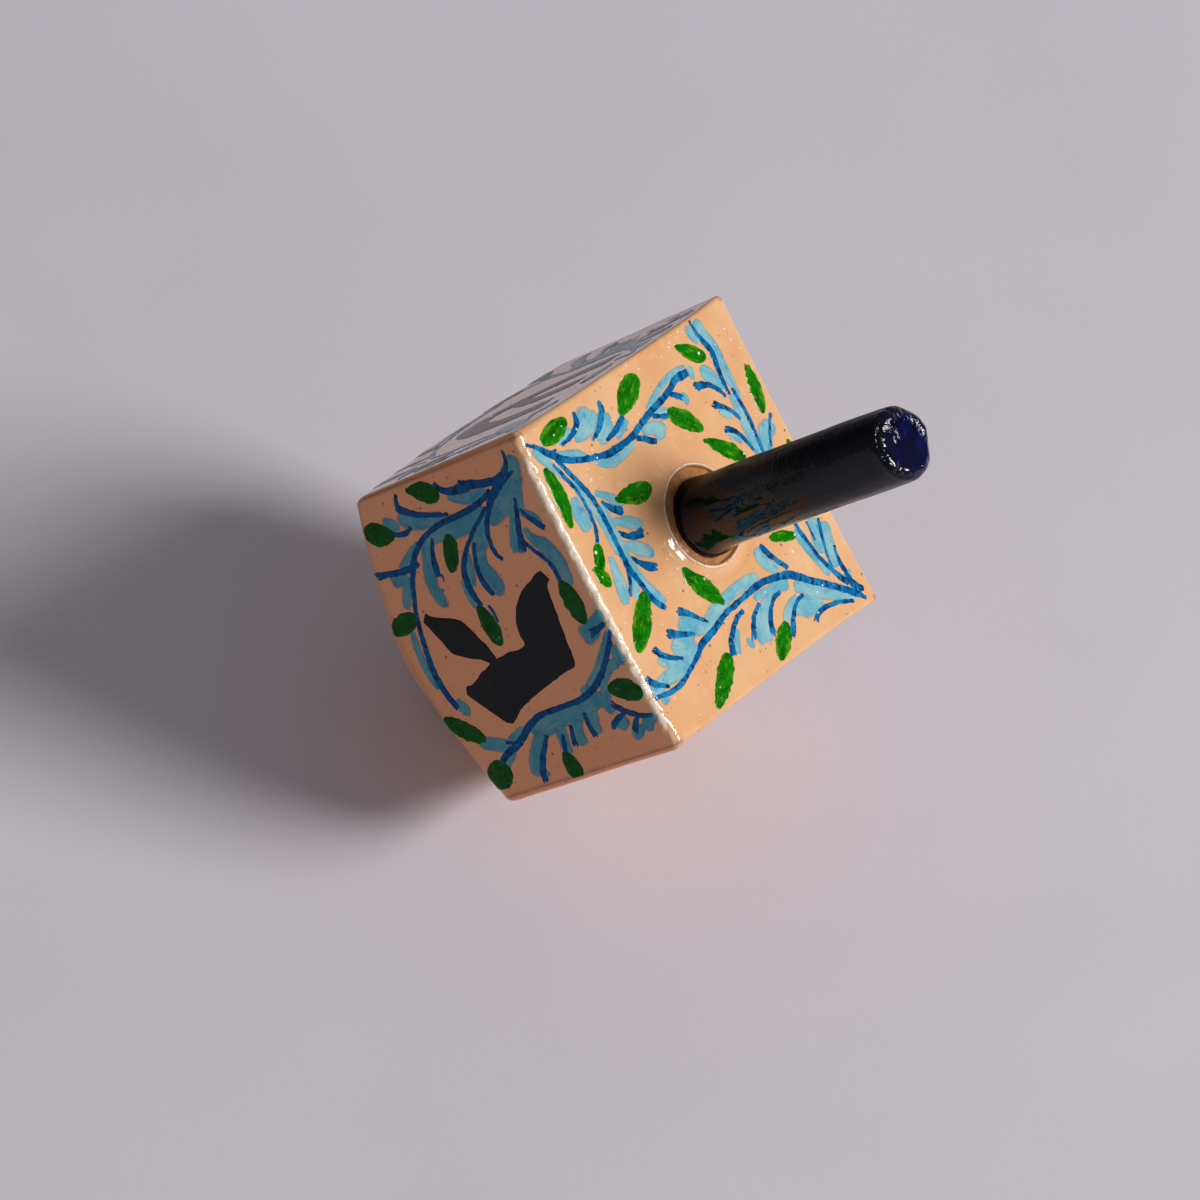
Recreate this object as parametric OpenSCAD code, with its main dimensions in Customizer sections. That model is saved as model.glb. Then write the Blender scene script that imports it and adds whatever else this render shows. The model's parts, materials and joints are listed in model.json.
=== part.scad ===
// Dreidel: a square wooden block, turned at its lower end to a round belly and a point, with
// a dowel stem glued into the opposite face. Each piece is drawn upright, with the stem end's
// face at z = 0 and the stem along +Z, and is then laid on its belly the way the toy rests.

/* [Block] */
// Width across two opposite flat faces
face_w = 30; // [26:0.5:40]
// Height of a flat face, from the stem end to the crown of its arched lower edge
side_h = 25.7; // [23:0.1:32]
// Rounding of the long edges and of the edges round the stem end
edge_r = 1; // [0.4:0.1:2]

/* [Belly and point] */
// Angle between the axis and the belly at the spot where the toy lies
belly_angle = 42.5; // [41:0.5:44]
// Distance of that spot from the axis
rest_r = 14; // [12.5:0.1:14.5]
// Radius of the belly's slight bulge, seen from the side
belly_bulge_r = 100; // [80:5:160]
// Depth of the flat that the belly lies on
rest_flat = 0.3; // [0.2:0.05:0.45]
// How far the belly runs inwards from the flat faces, measured square to the axis
belly_w = 3.3; // [3:0.1:6]
// Angle between the axis and the point where the point starts
point_angle = 48; // [47.5:0.5:56]
// Radius of the point's slight bulge, seen from the side
point_bulge_r = 80; // [60:5:160]
// Length that wear has taken off the tip that the toy spins on
tip_wear = 0.3; // [0.1:0.05:0.6]

/* [Stem] */
// Diameter of the dowel
stem_d = 6.6; // [5:0.1:9]
// Length of the dowel above the stem end's face
stem_out = 25; // [15:0.5:35]
// Rounding of the dowel's free end
stem_end_r = 0.9; // [0.3:0.1:1.5]
// Step from the dowel down to the thinner tenon that enters the block
shoulder = 0.8; // [0.6:0.05:1.2]
// Rounding of the dowel's inner end
stem_foot_r = 0.4; // [0.2:0.1:1]

/* [Socket] */
// Depth of the blind hole that takes the dowel
socket_depth = 14; // [10:0.5:18]
// Thickness of the glue between the dowel and its hole
glue_t = 0.15; // [0.1:0.05:0.4]
// Gap between the dowel and the wall of the countersunk mouth
mouth_gap = 1; // [0.6:0.1:2]
// Depth of the countersunk mouth
mouth_depth = 0.8; // [0.5:0.1:1.5]
// Height of the glue left standing in the mouth
glue_rise = 0.35; // [0.1:0.05:0.4]

/* [Bead] */
// Width of the raised bead of ground round the mouth, from its inner wall to its outer edge
bead_w = 2.2; // [1.5:0.1:3]
// Height of the bead above the stem end's face
bead_h = 0.55; // [0.3:0.05:0.8]

/* [Pose] */
// Turn about the stem at which the block lies, from a flat face straight under it
roll_angle = 18; // [0:1:45]

/* [Hidden] */
overrun = 1;
$fn = 128;

half_w = face_w / 2;
stem_r = stem_d / 2;
tenon_r = stem_r - shoulder;
socket_r = tenon_r + glue_t;
mouth_r = stem_r + mouth_gap;
stem_in = socket_depth - glue_t;
shoulder_z = glue_rise - mouth_depth;

// Circle of the belly in the side view, as its centre's distance from the axis and its depth
// below the stem end's face: it leans at the belly angle over the resting spot, and meets the
// flat faces at their arches' crowns
belly_x = rest_r - belly_bulge_r * cos(belly_angle);
belly_y = side_h - sqrt(pow(belly_bulge_r, 2) - pow(half_w - belly_x, 2));
rest_depth = belly_y + belly_bulge_r * sin(belly_angle);
belly_end_r = half_w - belly_w;
belly_end = belly_y + sqrt(pow(belly_bulge_r, 2) - pow(belly_end_r - belly_x, 2));

// Circle of the point in the same view, from the belly's inner end to the axis
point_x = belly_end_r - point_bulge_r * cos(point_angle);
point_y = belly_end - point_bulge_r * sin(point_angle);
body_h = point_y + sqrt(pow(point_bulge_r, 2) - pow(point_x, 2)) - tip_wear;

// Laid down, the axis rises from the table at the belly angle. The origin is on the table,
// under the middle of the toy between the belly's far side and the stem's free end.
lean = 90 - belly_angle;
lift = rest_r * sin(lean) + rest_depth * cos(lean) - rest_flat;
low_x = -belly_end_r * cos(lean) - belly_end * sin(lean);
high_x = (stem_out - stem_end_r) * sin(lean) + (stem_r - stem_end_r) * cos(lean) + stem_end_r;
middle_x = (low_x + high_x) / 2;

module lay_down() {
  translate([-middle_x, 0, lift])
    rotate([0, lean, 0])
      rotate([0, 0, -roll_angle])
        children();
}

// Square with its four corners rounded
module rounded_square(w, r) {
  square([w - 2 * r, w], center = true);
  square([w, w - 2 * r], center = true);
  for (x = [-1, 1], y = [-1, 1])
    translate([x * (w / 2 - r), y * (w / 2 - r)]) circle(r);
}

// Side view of the block: straight sides, with the two upper corners rounded
module side_view(w, h, r) {
  translate([-w / 2, -h]) square([w, h - r]);
  translate([r - w / 2, -h]) square([w - 2 * r, h]);
  for (x = [-1, 1])
    translate([x * (w / 2 - r), -r]) circle(r);
}

// Square block with rounded long edges and a rounded border to the stem end. Its height
// leaves the worn tip flat.
module square_block() {
  intersection() {
    translate([0, 0, -body_h]) linear_extrude(body_h) rounded_square(face_w, edge_r);
    rotate([90, 0, 0])
      linear_extrude(face_w + 2 * overrun, center = true) side_view(face_w, body_h, edge_r);
    rotate([90, 0, 90])
      linear_extrude(face_w + 2 * overrun, center = true) side_view(face_w, body_h, edge_r);
  }
}

// Everything inside the turned belly and point
module turned_shape() {
  rotate_extrude()
    intersection() {
      translate([0, -body_h - overrun]) square([face_w, body_h + 2 * overrun]);
      translate([belly_x, -belly_y]) circle(belly_bulge_r);
      translate([point_x, -point_y]) circle(point_bulge_r);
    }
}

// Round hole that starts above a face and goes down from it
module sunk_hole(r, depth) {
  translate([0, 0, -depth]) cylinder(r = r, h = depth + overrun);
}

// Half outline of a round bar that stands on z = 0, with its upper edge rounded
module bar_outline(r, h, end_r) {
  square([r, h - end_r]);
  square([r - end_r, h]);
  intersection() {
    translate([r - end_r, h - end_r]) circle(end_r);
    square([r, h]);
  }
}

// Dowel with its thinner tenon below the shoulder
module dowel() {
  translate([0, 0, shoulder_z])
    rotate_extrude() bar_outline(stem_r, stem_out - shoulder_z, stem_end_r);
  translate([0, 0, shoulder_z + overrun])
    mirror([0, 0, 1])
      rotate_extrude() bar_outline(tenon_r, stem_in + shoulder_z + overrun, stem_foot_r);
}

// Everything above the table
module above_table() {
  translate([-face_w * 2, -face_w, 0]) cube([face_w * 4, face_w * 2, face_w * 2]);
}

module body_block() {
  color([0.93, 0.72, 0.55])
    intersection() {
      lay_down()
        difference() {
          intersection() {
            square_block();
            turned_shape();
          }
          sunk_hole(socket_r, socket_depth);
          sunk_hole(mouth_r, mouth_depth);
        }
      above_table();
    }
}

module stem() {
  color([0.05, 0.06, 0.16]) lay_down() dowel();
}

// Glue round and under the dowel, with what was squeezed out standing in the mouth
module glue_sleeve() {
  color([0.80, 0.55, 0.30])
    lay_down()
      difference() {
        union() {
          translate([0, 0, -socket_depth]) cylinder(r = socket_r, h = socket_depth - mouth_depth);
          translate([0, 0, -mouth_depth]) cylinder(r = mouth_r, h = glue_rise);
        }
        dowel();
      }
}

// Low mound with a steep inner wall in line with the mouth, and a rounded crest
module root_bead() {
  crest_r = bead_h / 2;
  color([0.90, 0.70, 0.52])
    lay_down()
      rotate_extrude()
        union() {
          polygon([
            [mouth_r, 0], [mouth_r + bead_w, 0],
            [mouth_r + crest_r, bead_h], [mouth_r, bead_h - crest_r]
          ]);
          translate([mouth_r + crest_r, bead_h - crest_r]) circle(crest_r);
        }
}

body_block();
stem();
glue_sleeve();
root_bead();
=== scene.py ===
import json
import math
import bpy
import numpy as np
from mathutils import Matrix, Vector


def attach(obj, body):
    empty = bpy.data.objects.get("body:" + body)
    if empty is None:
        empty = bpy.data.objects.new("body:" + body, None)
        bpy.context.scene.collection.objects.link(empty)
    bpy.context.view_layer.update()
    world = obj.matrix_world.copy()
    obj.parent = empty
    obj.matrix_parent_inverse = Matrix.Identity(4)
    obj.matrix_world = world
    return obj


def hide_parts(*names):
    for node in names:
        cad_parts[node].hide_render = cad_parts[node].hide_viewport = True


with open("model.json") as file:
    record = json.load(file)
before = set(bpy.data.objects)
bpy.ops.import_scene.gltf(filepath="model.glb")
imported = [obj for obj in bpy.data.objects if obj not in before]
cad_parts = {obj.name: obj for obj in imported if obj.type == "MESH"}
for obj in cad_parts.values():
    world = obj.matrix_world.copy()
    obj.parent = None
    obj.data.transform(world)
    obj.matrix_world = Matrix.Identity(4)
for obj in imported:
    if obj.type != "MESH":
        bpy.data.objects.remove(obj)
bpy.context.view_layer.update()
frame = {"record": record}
mm = 0.001

# The toy is worked out upright, in millimetres: the stem end's face at z = 0, the stem up,
# the lettered face at y = -15. The record's mounts say how that frame lies on the table.
mounts = {mount["name"]: mount for mount in frame["record"]["mounts"]}
flatDepth = 12.0  # depth at which the record measures the four flat faces
xAxis = np.array(mounts["under_flat"]["axis"])
yAxis = np.array(mounts["rear_flat"]["axis"])
zAxis = np.array(mounts["stem_grip"]["axis"])
flatNames = ("front_flat", "under_flat", "rear_flat", "upper_flat")
flatPlaces = [mounts[name]["pos_m"] for name in flatNames]
stemEnd = np.mean(flatPlaces, axis=0) / mm + flatDepth * zAxis

cameraView = dict(
    aim=(-3.746, -2.81, 16.77),  # point on the toy that the camera looks at, mm
    right=(0.9130, 0.4080, 0.0011),
    down=(0.2980, -0.6650, -0.6848),
    distance=548.71,
    lens=188.498,
    sensor=36.0,
)


def toWorld(points):
    # Upright millimetres to metres on the table: each axis times its own direction, plus the
    # stem end's place
    axes = np.stack([xAxis, yAxis, zAxis])
    return (points @ axes + stemEnd) * mm


def toUpright(point):
    axes = np.stack([xAxis, yAxis, zAxis])
    return axes @ (np.array(point) - stemEnd)


rightDir = np.array(cameraView["right"])
downDir = np.array(cameraView["down"])
downDir = downDir / np.linalg.norm(downDir)
rightDir = rightDir - downDir * (rightDir @ downDir)
rightDir = rightDir / np.linalg.norm(rightDir)
lookDir = np.cross(rightDir, downDir)
eye = np.array(cameraView["aim"]) - lookDir * cameraView["distance"]
uprightEye = toUpright(eye)


def makeCamera():
    data = bpy.data.cameras.new("camera")
    data.lens = cameraView["lens"]
    data.sensor_width = cameraView["sensor"]
    data.sensor_fit = "HORIZONTAL"
    data.clip_start = 0.01
    cam = bpy.data.objects.new("camera", data)
    bpy.context.scene.collection.objects.link(cam)
    cam.matrix_world = Matrix([
        [rightDir[0], -downDir[0], -lookDir[0], eye[0] * mm],
        [rightDir[1], -downDir[1], -lookDir[1], eye[1] * mm],
        [rightDir[2], -downDir[2], -lookDir[2], eye[2] * mm],
        [0, 0, 0, 1],
    ])
    bpy.context.scene.camera = cam
    return cam


# Block

block = dict(
    halfWidth=15.0,
    draft=0.012,  # how far each flat face leans in, per mm of depth
    skew=0.010,  # how far the block drifts along +x, per mm of depth
    frontOut=0.28,  # how far the lettered face stands out beyond the half width
    frontBulge=0.88,  # how much further its upper edge stands out between the long edges
    frontBulgeKept=0.35,  # share of that bulge that is kept all the way down
    frontBulgeDepth=5.0,  # depth over which the rest fades
    pinch=0.23,  # how much wider the block is at its corners than between them
    longRound=0.55,  # rounding of the four long edges
    topRound=0.42,  # rounding round the stem end
    frontTopRound=0.95,  # rounding between the stem end and the lettered face
    creaseRound=0.95,  # softness of the fold between the flat faces and the belly
    bellyLean=42.5,  # degrees between the axis and the belly where the toy lies
    bellyRest=14.0,  # distance of that place from the axis
    bellyBulge=100.0,
    bellyTop=25.42,
    bellyTilt=0.03,  # how far the turned end is aslant, per mm along +x
    bellyInner=11.7,
    shoulderFrom=15.3,  # past here the belly flattens towards the four corners
    shoulderSlope=0.53,
    pointLean=48.0,
    pointBulge=80.0,
    tipDepth=37.57,
    tipRound=1.1,
    swell=0.13,  # how far the ground rises towards the stem
    swellFrom=4.85,  # distance from the axis at which it is highest
    swellWidth=2.3,
    unevenness=0.04,
    edgeLumps=0.06,  # lacquer gathered along the edge over the lettered face
    edgePlace=(-15.8, -0.3),  # where that edge runs, as y and z
    centre=(0.0, 0.0, -13.0),
)


def sineNoise(points, size, seed, octaves=2):
    # Sum of six sines per octave, each along its own random direction with its own phase;
    # the next octave is half as wide and half as strong
    draw = np.random.default_rng(seed)
    total = np.zeros(points.shape[:-1])
    for octave in range(octaves):
        for wave in range(6):
            direction = draw.normal(size=points.shape[-1])
            direction = direction / np.linalg.norm(direction)
            turn = points @ direction * (2 * math.pi / size * 2**octave) * draw.uniform(0.7, 1.3)
            total += np.sin(turn + draw.uniform(0, 2 * math.pi)) / 2**octave
    return total / math.sqrt(12)


def bellyDepth(radius):
    # Depth of the turned end below the stem end's face: one circle for the belly, one for
    # the point, a straight flatter cone out to the corners, and a rounded tip
    b = block
    lean = math.radians(b["bellyLean"])
    bellyX = b["bellyRest"] - b["bellyBulge"] * math.cos(lean)
    bellyY = b["bellyTop"] - math.sqrt(b["bellyBulge"] ** 2 - (b["halfWidth"] - bellyX) ** 2)

    def bellyCircle(r):
        return bellyY + np.sqrt(b["bellyBulge"] ** 2 - (r - bellyX) ** 2)

    pointLean = math.radians(b["pointLean"])
    pointX = b["bellyInner"] - b["pointBulge"] * math.cos(pointLean)
    pointY = bellyCircle(b["bellyInner"]) - b["pointBulge"] * math.sin(pointLean)
    inner = pointY + np.sqrt(b["pointBulge"] ** 2 - (np.minimum(radius, 16.0) - pointX) ** 2)
    middle = bellyCircle(np.clip(radius, 5.0, b["shoulderFrom"]))
    outer = b["shoulderSlope"] * np.maximum(radius - b["shoulderFrom"], 0.0)
    depth = np.where(radius < b["bellyInner"], inner, middle - outer)
    return softLow(depth, np.full_like(depth, b["tipDepth"]), b["tipRound"])


def softLow(a, b, width):
    # Smaller of two values, with the corner between them rounded over a width
    blend = np.maximum(width - np.abs(a - b), 0.0)
    return np.minimum(a, b) - blend**2 / (4 * width)


def softHigh(a, b, width):
    return -softLow(-a, -b, width)


def roundedCorner(a, b, radius):
    # Distance outside two walls that meet in an edge of the given radius
    outX = np.maximum(a + radius, 0.0)
    outY = np.maximum(b + radius, 0.0)
    return np.sqrt(outX**2 + outY**2) + np.minimum(np.maximum(a, b) + radius, 0.0) - radius


def blockField(points):
    # Below zero inside the painted block: flat faces that lean in, rounded to each other and
    # to the stem end, folded softly into the belly, all slightly uneven
    b = block
    x, y, z = points[..., 0], points[..., 1], points[..., 2]
    radius = np.hypot(x, y)
    below = np.minimum(z, 0.0)
    half = b["halfWidth"] + b["draft"] * below
    x = x + b["skew"] * below
    wideX = half + b["pinch"] * (y / b["halfWidth"]) ** 4
    aside = (x / b["halfWidth"]) ** 4
    wideY = half + b["pinch"] * aside
    kept = b["frontBulgeKept"]
    fade = kept + (1 - kept) * np.exp(below / b["frontBulgeDepth"])
    bulge = b["frontBulge"] * np.clip(1 - aside, 0, 1) * fade
    wideY = wideY + (b["frontOut"] + bulge) * (y < 0)
    rough = sineNoise(points, 17.0, 11, 2) * b["unevenness"]
    edgeY, edgeZ = b["edgePlace"]
    onEdge = np.exp(-(((y - edgeY) / 0.9) ** 2) - ((z - edgeZ) / 0.9) ** 2)
    rough = rough + sineNoise(points, 1.5, 12, 3) * onEdge * b["edgeLumps"]
    sides = roundedCorner(np.abs(x) - wideX, np.abs(y) - wideY, b["longRound"])
    swell = b["swell"] * np.exp(-(((radius - b["swellFrom"]) / b["swellWidth"]) ** 2))
    toFront = np.clip((-y - 11.0) / 3.0, 0.0, 1.0)
    topRound = b["topRound"] + (b["frontTopRound"] - b["topRound"]) * toFront
    upper = roundedCorner(sides, z - swell, topRound)
    lower = (-z - bellyDepth(radius) - b["bellyTilt"] * x) * 0.7
    shape = softHigh(upper, lower, b["creaseRound"])
    worldZ = points @ np.array([xAxis[2], yAxis[2], zAxis[2]]) + stemEnd[2]
    return np.maximum(shape + rough, -worldZ)


def fieldNormal(points):
    step = 0.02
    parts = []
    for axis in range(3):
        shift = np.zeros(3)
        shift[axis] = step
        parts.append(blockField(points + shift) - blockField(points - shift))
    normal = np.stack(parts, axis=-1)
    return normal / np.linalg.norm(normal, axis=-1, keepdims=True)


def findSurface(inside, outside):
    # Halves the stretch between a place inside and one outside until they meet on the skin
    for step in range(26):
        middle = (inside + outside) / 2
        isIn = (blockField(middle) < 0)[..., None]
        inside = np.where(isIn, middle, inside)
        outside = np.where(isIn, outside, middle)
    return (inside + outside) / 2


def firstMeeting(places, directions):
    # Walks along each line from 3 mm before its place to 3 mm past it, and halves the first
    # step that enters the block; a line that misses slides from its nearest place to the skin
    steps = np.linspace(-3.0, 3.0, 16)
    walk = places[..., None, :] + directions[..., None, :] * steps[:, None]
    depth = blockField(walk)
    first = np.maximum(np.argmax(depth < 0, axis=-1), 1)[..., None, None]
    inside = np.take_along_axis(walk, first, axis=-2)[..., 0, :]
    outside = np.take_along_axis(walk, first - 1, axis=-2)[..., 0, :]
    nearest = np.argmin(depth, axis=-1)[..., None, None]
    slid = np.take_along_axis(walk, nearest, axis=-2)[..., 0, :]
    for turn in range(4):
        slid = slid - fieldNormal(slid) * blockField(slid)[..., None]
    meets = np.any(depth < 0, axis=-1)[..., None]
    return np.where(meets, findSurface(inside, outside), slid)


def gather(shares, pull):
    # Even steps drawn together at both ends of the stretch
    eased = 0.5 - 0.5 * np.cos(math.pi * shares)
    return shares + (eased - shares) * pull


def gridFaces(rows, columns, closed):
    # Four-cornered faces of a grid; a closed one joins its last column to its first
    last = columns if closed else columns - 1
    row, column = np.meshgrid(np.arange(rows - 1), np.arange(last), indexing="ij")
    after = (column + 1) % columns
    corners = [row * columns + column, row * columns + after]
    corners += [(row + 1) * columns + after, (row + 1) * columns + column]
    return np.stack(corners, axis=-1).reshape(-1, 4)


def closingBand(rows, columns):
    # Faces that join a turned grid's last row to its first
    ring = np.arange(columns)
    after = (ring + 1) % columns
    last = (rows - 1) * columns
    return np.stack([last + ring, last + after, after, ring], -1)


def turnDirections(columns):
    # Even directions round the stem's axis, as x and y
    angle = np.arange(columns) / columns * 2 * math.pi
    return np.stack([np.cos(angle), np.sin(angle)], -1)


def makeMesh(
    name, points, quads, triangles=None, material=None, uv=None, floats=None, world=False,
    smooth=None,
):
    # Writes whole arrays into a new mesh object at the origin
    mesh = bpy.data.meshes.new(name)
    triangles = np.zeros((0, 3), int) if triangles is None else triangles
    loops = np.concatenate([quads.reshape(-1), triangles.reshape(-1)]).astype(np.int32)
    starts = np.concatenate(
        [np.arange(len(quads)) * 4, len(quads) * 4 + np.arange(len(triangles)) * 3]
    ).astype(np.int32)
    counts = np.concatenate([np.full(len(quads), 4), np.full(len(triangles), 3)]).astype(np.int32)
    places = points if world else toWorld(points)
    mesh.vertices.add(len(places))
    mesh.vertices.foreach_set("co", places.astype(np.float32).ravel())
    mesh.loops.add(len(loops))
    mesh.loops.foreach_set("vertex_index", loops)
    mesh.polygons.add(len(starts))
    mesh.polygons.foreach_set("loop_start", starts)
    mesh.polygons.foreach_set("loop_total", counts)
    smooth = np.ones(len(starts), bool) if smooth is None else smooth
    mesh.polygons.foreach_set("use_smooth", smooth)
    mesh.update(calc_edges=True)
    if uv is not None:
        layer = mesh.uv_layers.new(name="brush")
        layer.data.foreach_set("uv", uv[loops].astype(np.float32).ravel())
    for key, values in (floats or {}).items():
        attribute = mesh.attributes.new(key, "FLOAT", "POINT")
        attribute.data.foreach_set("value", values.astype(np.float32))
    mesh.validate()
    piece = bpy.data.objects.new(name, mesh)
    bpy.context.scene.collection.objects.link(piece)
    if material is not None:
        mesh.materials.append(material)
    return piece


groundGrid = dict(perSide=140, point=58, side=62, top=40, endPull=0.65)

# Rolled lip, wall of the mouth and socket, from outside in: distance from the axis, height
lipProfile = [
    (5.15, 0.06), (4.95, 0.0), (4.8, -0.08), (4.7, -0.2), (4.68, -0.45),
    (4.5, -0.72), (3.7, -0.8), (3.0, -0.85), (2.66, -1.1), (2.65, -7.0), (2.65, -13.7),
    (2.4, -14.0), (1.0, -14.02),
]


def makeGround(material):
    # Rays from a centre through the corners of a plain square block with a cone, one column
    # per direction round the axis and one row per step from the tip to the rolled lip, each
    # stopped where it meets the field's skin; the lip and the socket are turned round the axis
    g = groundGrid
    share = gather(np.arange(g["perSide"]) / g["perSide"], g["endPull"]) * 2 - 1
    half = block["halfWidth"]
    fixed = np.full(g["perSide"], half)
    squareX = np.concatenate([share * half, fixed, -share * half, -fixed])
    squareY = np.concatenate([-fixed, share * half, fixed, -share * half])
    reach = np.hypot(squareX, squareY)
    reach = np.minimum(reach, reach.max() - 0.36)
    around = np.arctan2(squareY, squareX)
    cosA, sinA = np.cos(around), np.sin(around)
    bottom = -bellyDepth(reach)
    rows = []
    for s in gather(np.linspace(0, 1, g["point"] + 1)[1:-1], g["endPull"] * 0.6):
        radius = reach * s
        rows.append(np.stack([radius * cosA, radius * sinA, -bellyDepth(radius)], -1))
    for s in gather(np.linspace(0, 1, g["side"] + 1)[:-1], g["endPull"]):
        rows.append(np.stack([reach * cosA, reach * sinA, bottom * (1 - s)], -1))
    innerRadius = 5.4
    for s in gather(np.linspace(0, 1, g["top"] * 2 + 1), g["endPull"])[: g["top"] + 1]:
        radius = reach * (1 - 2 * s) + innerRadius * 2 * s
        rows.append(np.stack([radius * cosA, radius * sinA, np.zeros_like(radius)], -1))
    target = np.stack(rows)
    centre = np.array(block["centre"])
    away = target - centre
    away = away / np.linalg.norm(away, axis=-1, keepdims=True)
    skin = findSurface(np.broadcast_to(centre, target.shape), centre + away * 45.0)
    skin[-1, :, 2] -= 0.12  # the innermost row dips under the bead
    lip = [np.stack([r * cosA, r * sinA, np.full_like(cosA, z)], -1) for r, z in lipProfile]
    grid = np.concatenate([skin, np.stack(lip)])
    count, columns = grid.shape[:2]
    tip = findSurface(centre[None], (centre + np.array([0, 0, -45.0]))[None])
    floor = np.array([[0.0, 0.0, -14.02]])
    points = np.concatenate([grid.reshape(-1, 3), tip, floor])
    quads = gridFaces(count, columns, True)
    ring = np.arange(columns)
    after = (ring + 1) % columns
    tipIndex = count * columns
    tipFan = np.stack([after, ring, np.full(columns, tipIndex)], -1)
    lastRow = (count - 1) * columns
    floorFan = np.stack([lastRow + ring, lastRow + after, np.full(columns, tipIndex + 1)], -1)
    triangles = np.concatenate([tipFan, floorFan])
    x, y, z = points[:, 0], points[:, 1], points[:, 2]
    limit = block["halfWidth"] + block["draft"] * np.minimum(z, 0)
    corner = np.minimum(np.abs(x), np.abs(y)) - limit
    seam = np.exp(-(((corner + 0.26) / 0.13) ** 2)) * (z > -24)
    # Share of the pale band of painted highlight along the edge over the lettered face; it also
    # raises the lacquer lumps there
    edge = np.exp(-(((y + 15.85) / 0.5) ** 2) - ((z + 0.12) / 0.38) ** 2)
    # Share of the deeper, redder peach on the four sides: painted shade
    side = np.clip((-z - 0.4) / 0.9, 0, 1)
    turned = 1 / (1 + np.exp(-(-z - bellyDepth(np.hypot(x, y)) + 0.9) / 0.35))
    # Dark ring on the mouth's wall round the stem: painted shade
    grooveShade = np.exp(-(((np.hypot(x, y) - 4.6) / 0.3) ** 2)) * (z > -3)
    floats = dict(seam=seam, turned=turned, grooveShade=grooveShade, edge=edge, side=side)
    piece = makeMesh("groundSkin", points, quads, triangles, material, None, floats)
    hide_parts("body_block")
    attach(piece, "root")
    return piece


# Bead of ground round the stem's root

bead = dict(crest=4.55, outer=5.75, slope=0.25, crestRound=0.2, centre=(-0.1, -0.1), columns=260)


def groundHeight(x, y):
    # Height of the stem end's skin at some places, found straight down
    low = np.stack([x, y, np.full_like(x, -2.0)], -1)
    high = np.stack([x, y, np.full_like(x, 2.0)], -1)
    return findSurface(low, high)[..., 2]


def makeBead(material):
    # A ring on the ground: outer flank that rises with s to the power 2.5 up to s = 0.6 and then
    # evenly, round crest, steep inner wall, flat underside; the crest is painted pale as a
    # highlight, and its inner drop dark as painted shade
    b = bead
    rollFrom = math.radians(50)
    flankEnd = b["crest"] + b["crestRound"] * math.sin(rollFrom)
    outerFlank = []
    for s in np.linspace(0, 1, 24):
        radius = b["outer"] + (flankEnd - b["outer"]) * s
        run = b["slope"] * (b["outer"] - b["crest"])
        rise = run * (0.24 * min(s / 0.6, 1) ** 2.5 + max(s - 0.6, 0))
        outerFlank.append((radius, rise + 0.012 - 0.04 * (s == 0)))
    crestZ = outerFlank[-1][1] - b["crestRound"] * math.cos(rollFrom)
    roll = []
    for t in np.linspace(rollFrom, math.radians(-95), 15)[1:]:
        outward, upward = b["crestRound"] * math.sin(t), b["crestRound"] * math.cos(t)
        roll.append((b["crest"] + outward, crestZ + upward))
    under = [(4.38, -0.12), (4.42, -0.5), (4.7, -0.6), (5.2, -0.5), (5.6, -0.3)]
    profile = np.array(outerFlank + roll + under)
    spin = turnDirections(b["columns"])
    drift = sineNoise(spin * 4.8, 5.0, 31, 2)
    lift = sineNoise(spin * 4.8, 3.5, 32, 2)
    inner = np.clip((5.7 - profile[:, 0]) / 1.1, 0, 1)[:, None]
    radius = profile[:, 0][:, None] + 0.07 * drift * inner
    offX, offY = b["centre"]
    over = np.maximum(radius, b["crest"])
    base = groundHeight(over * spin[:, 0] + offX, over * spin[:, 1] + offY)
    height = base + profile[:, 1][:, None] + 0.03 * lift * inner
    grid = np.stack([radius * spin[:, 0] + offX, radius * spin[:, 1] + offY, height], -1)
    rows = len(profile)
    points = grid.reshape(-1, 3)
    quads = np.concatenate([gridFaces(rows, b["columns"], True), closingBand(rows, b["columns"])])
    fromMiddle = np.hypot(points[:, 0] - offX, points[:, 1] - offY)
    # Dark line at the crest's inner drop: painted shade
    grooveShade = np.exp(-(((fromMiddle - 4.36) / 0.08) ** 2))
    # Pale line on the crest: painted highlight
    crestHighlight = 0.6 * np.exp(-(((fromMiddle - b["crest"] - 0.06) / 0.12) ** 2))
    zero = np.zeros(len(points))
    floats = dict(seam=zero, turned=zero, grooveShade=grooveShade, edge=crestHighlight, side=zero)
    piece = makeMesh("rootBead", points, quads, None, material, None, floats)
    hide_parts("root_bead")
    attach(piece, "root")
    return piece


# Glue round the dowel

glueRing = dict(inner=2.52, outer=4.48, columns=200, top=0.22)


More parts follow.
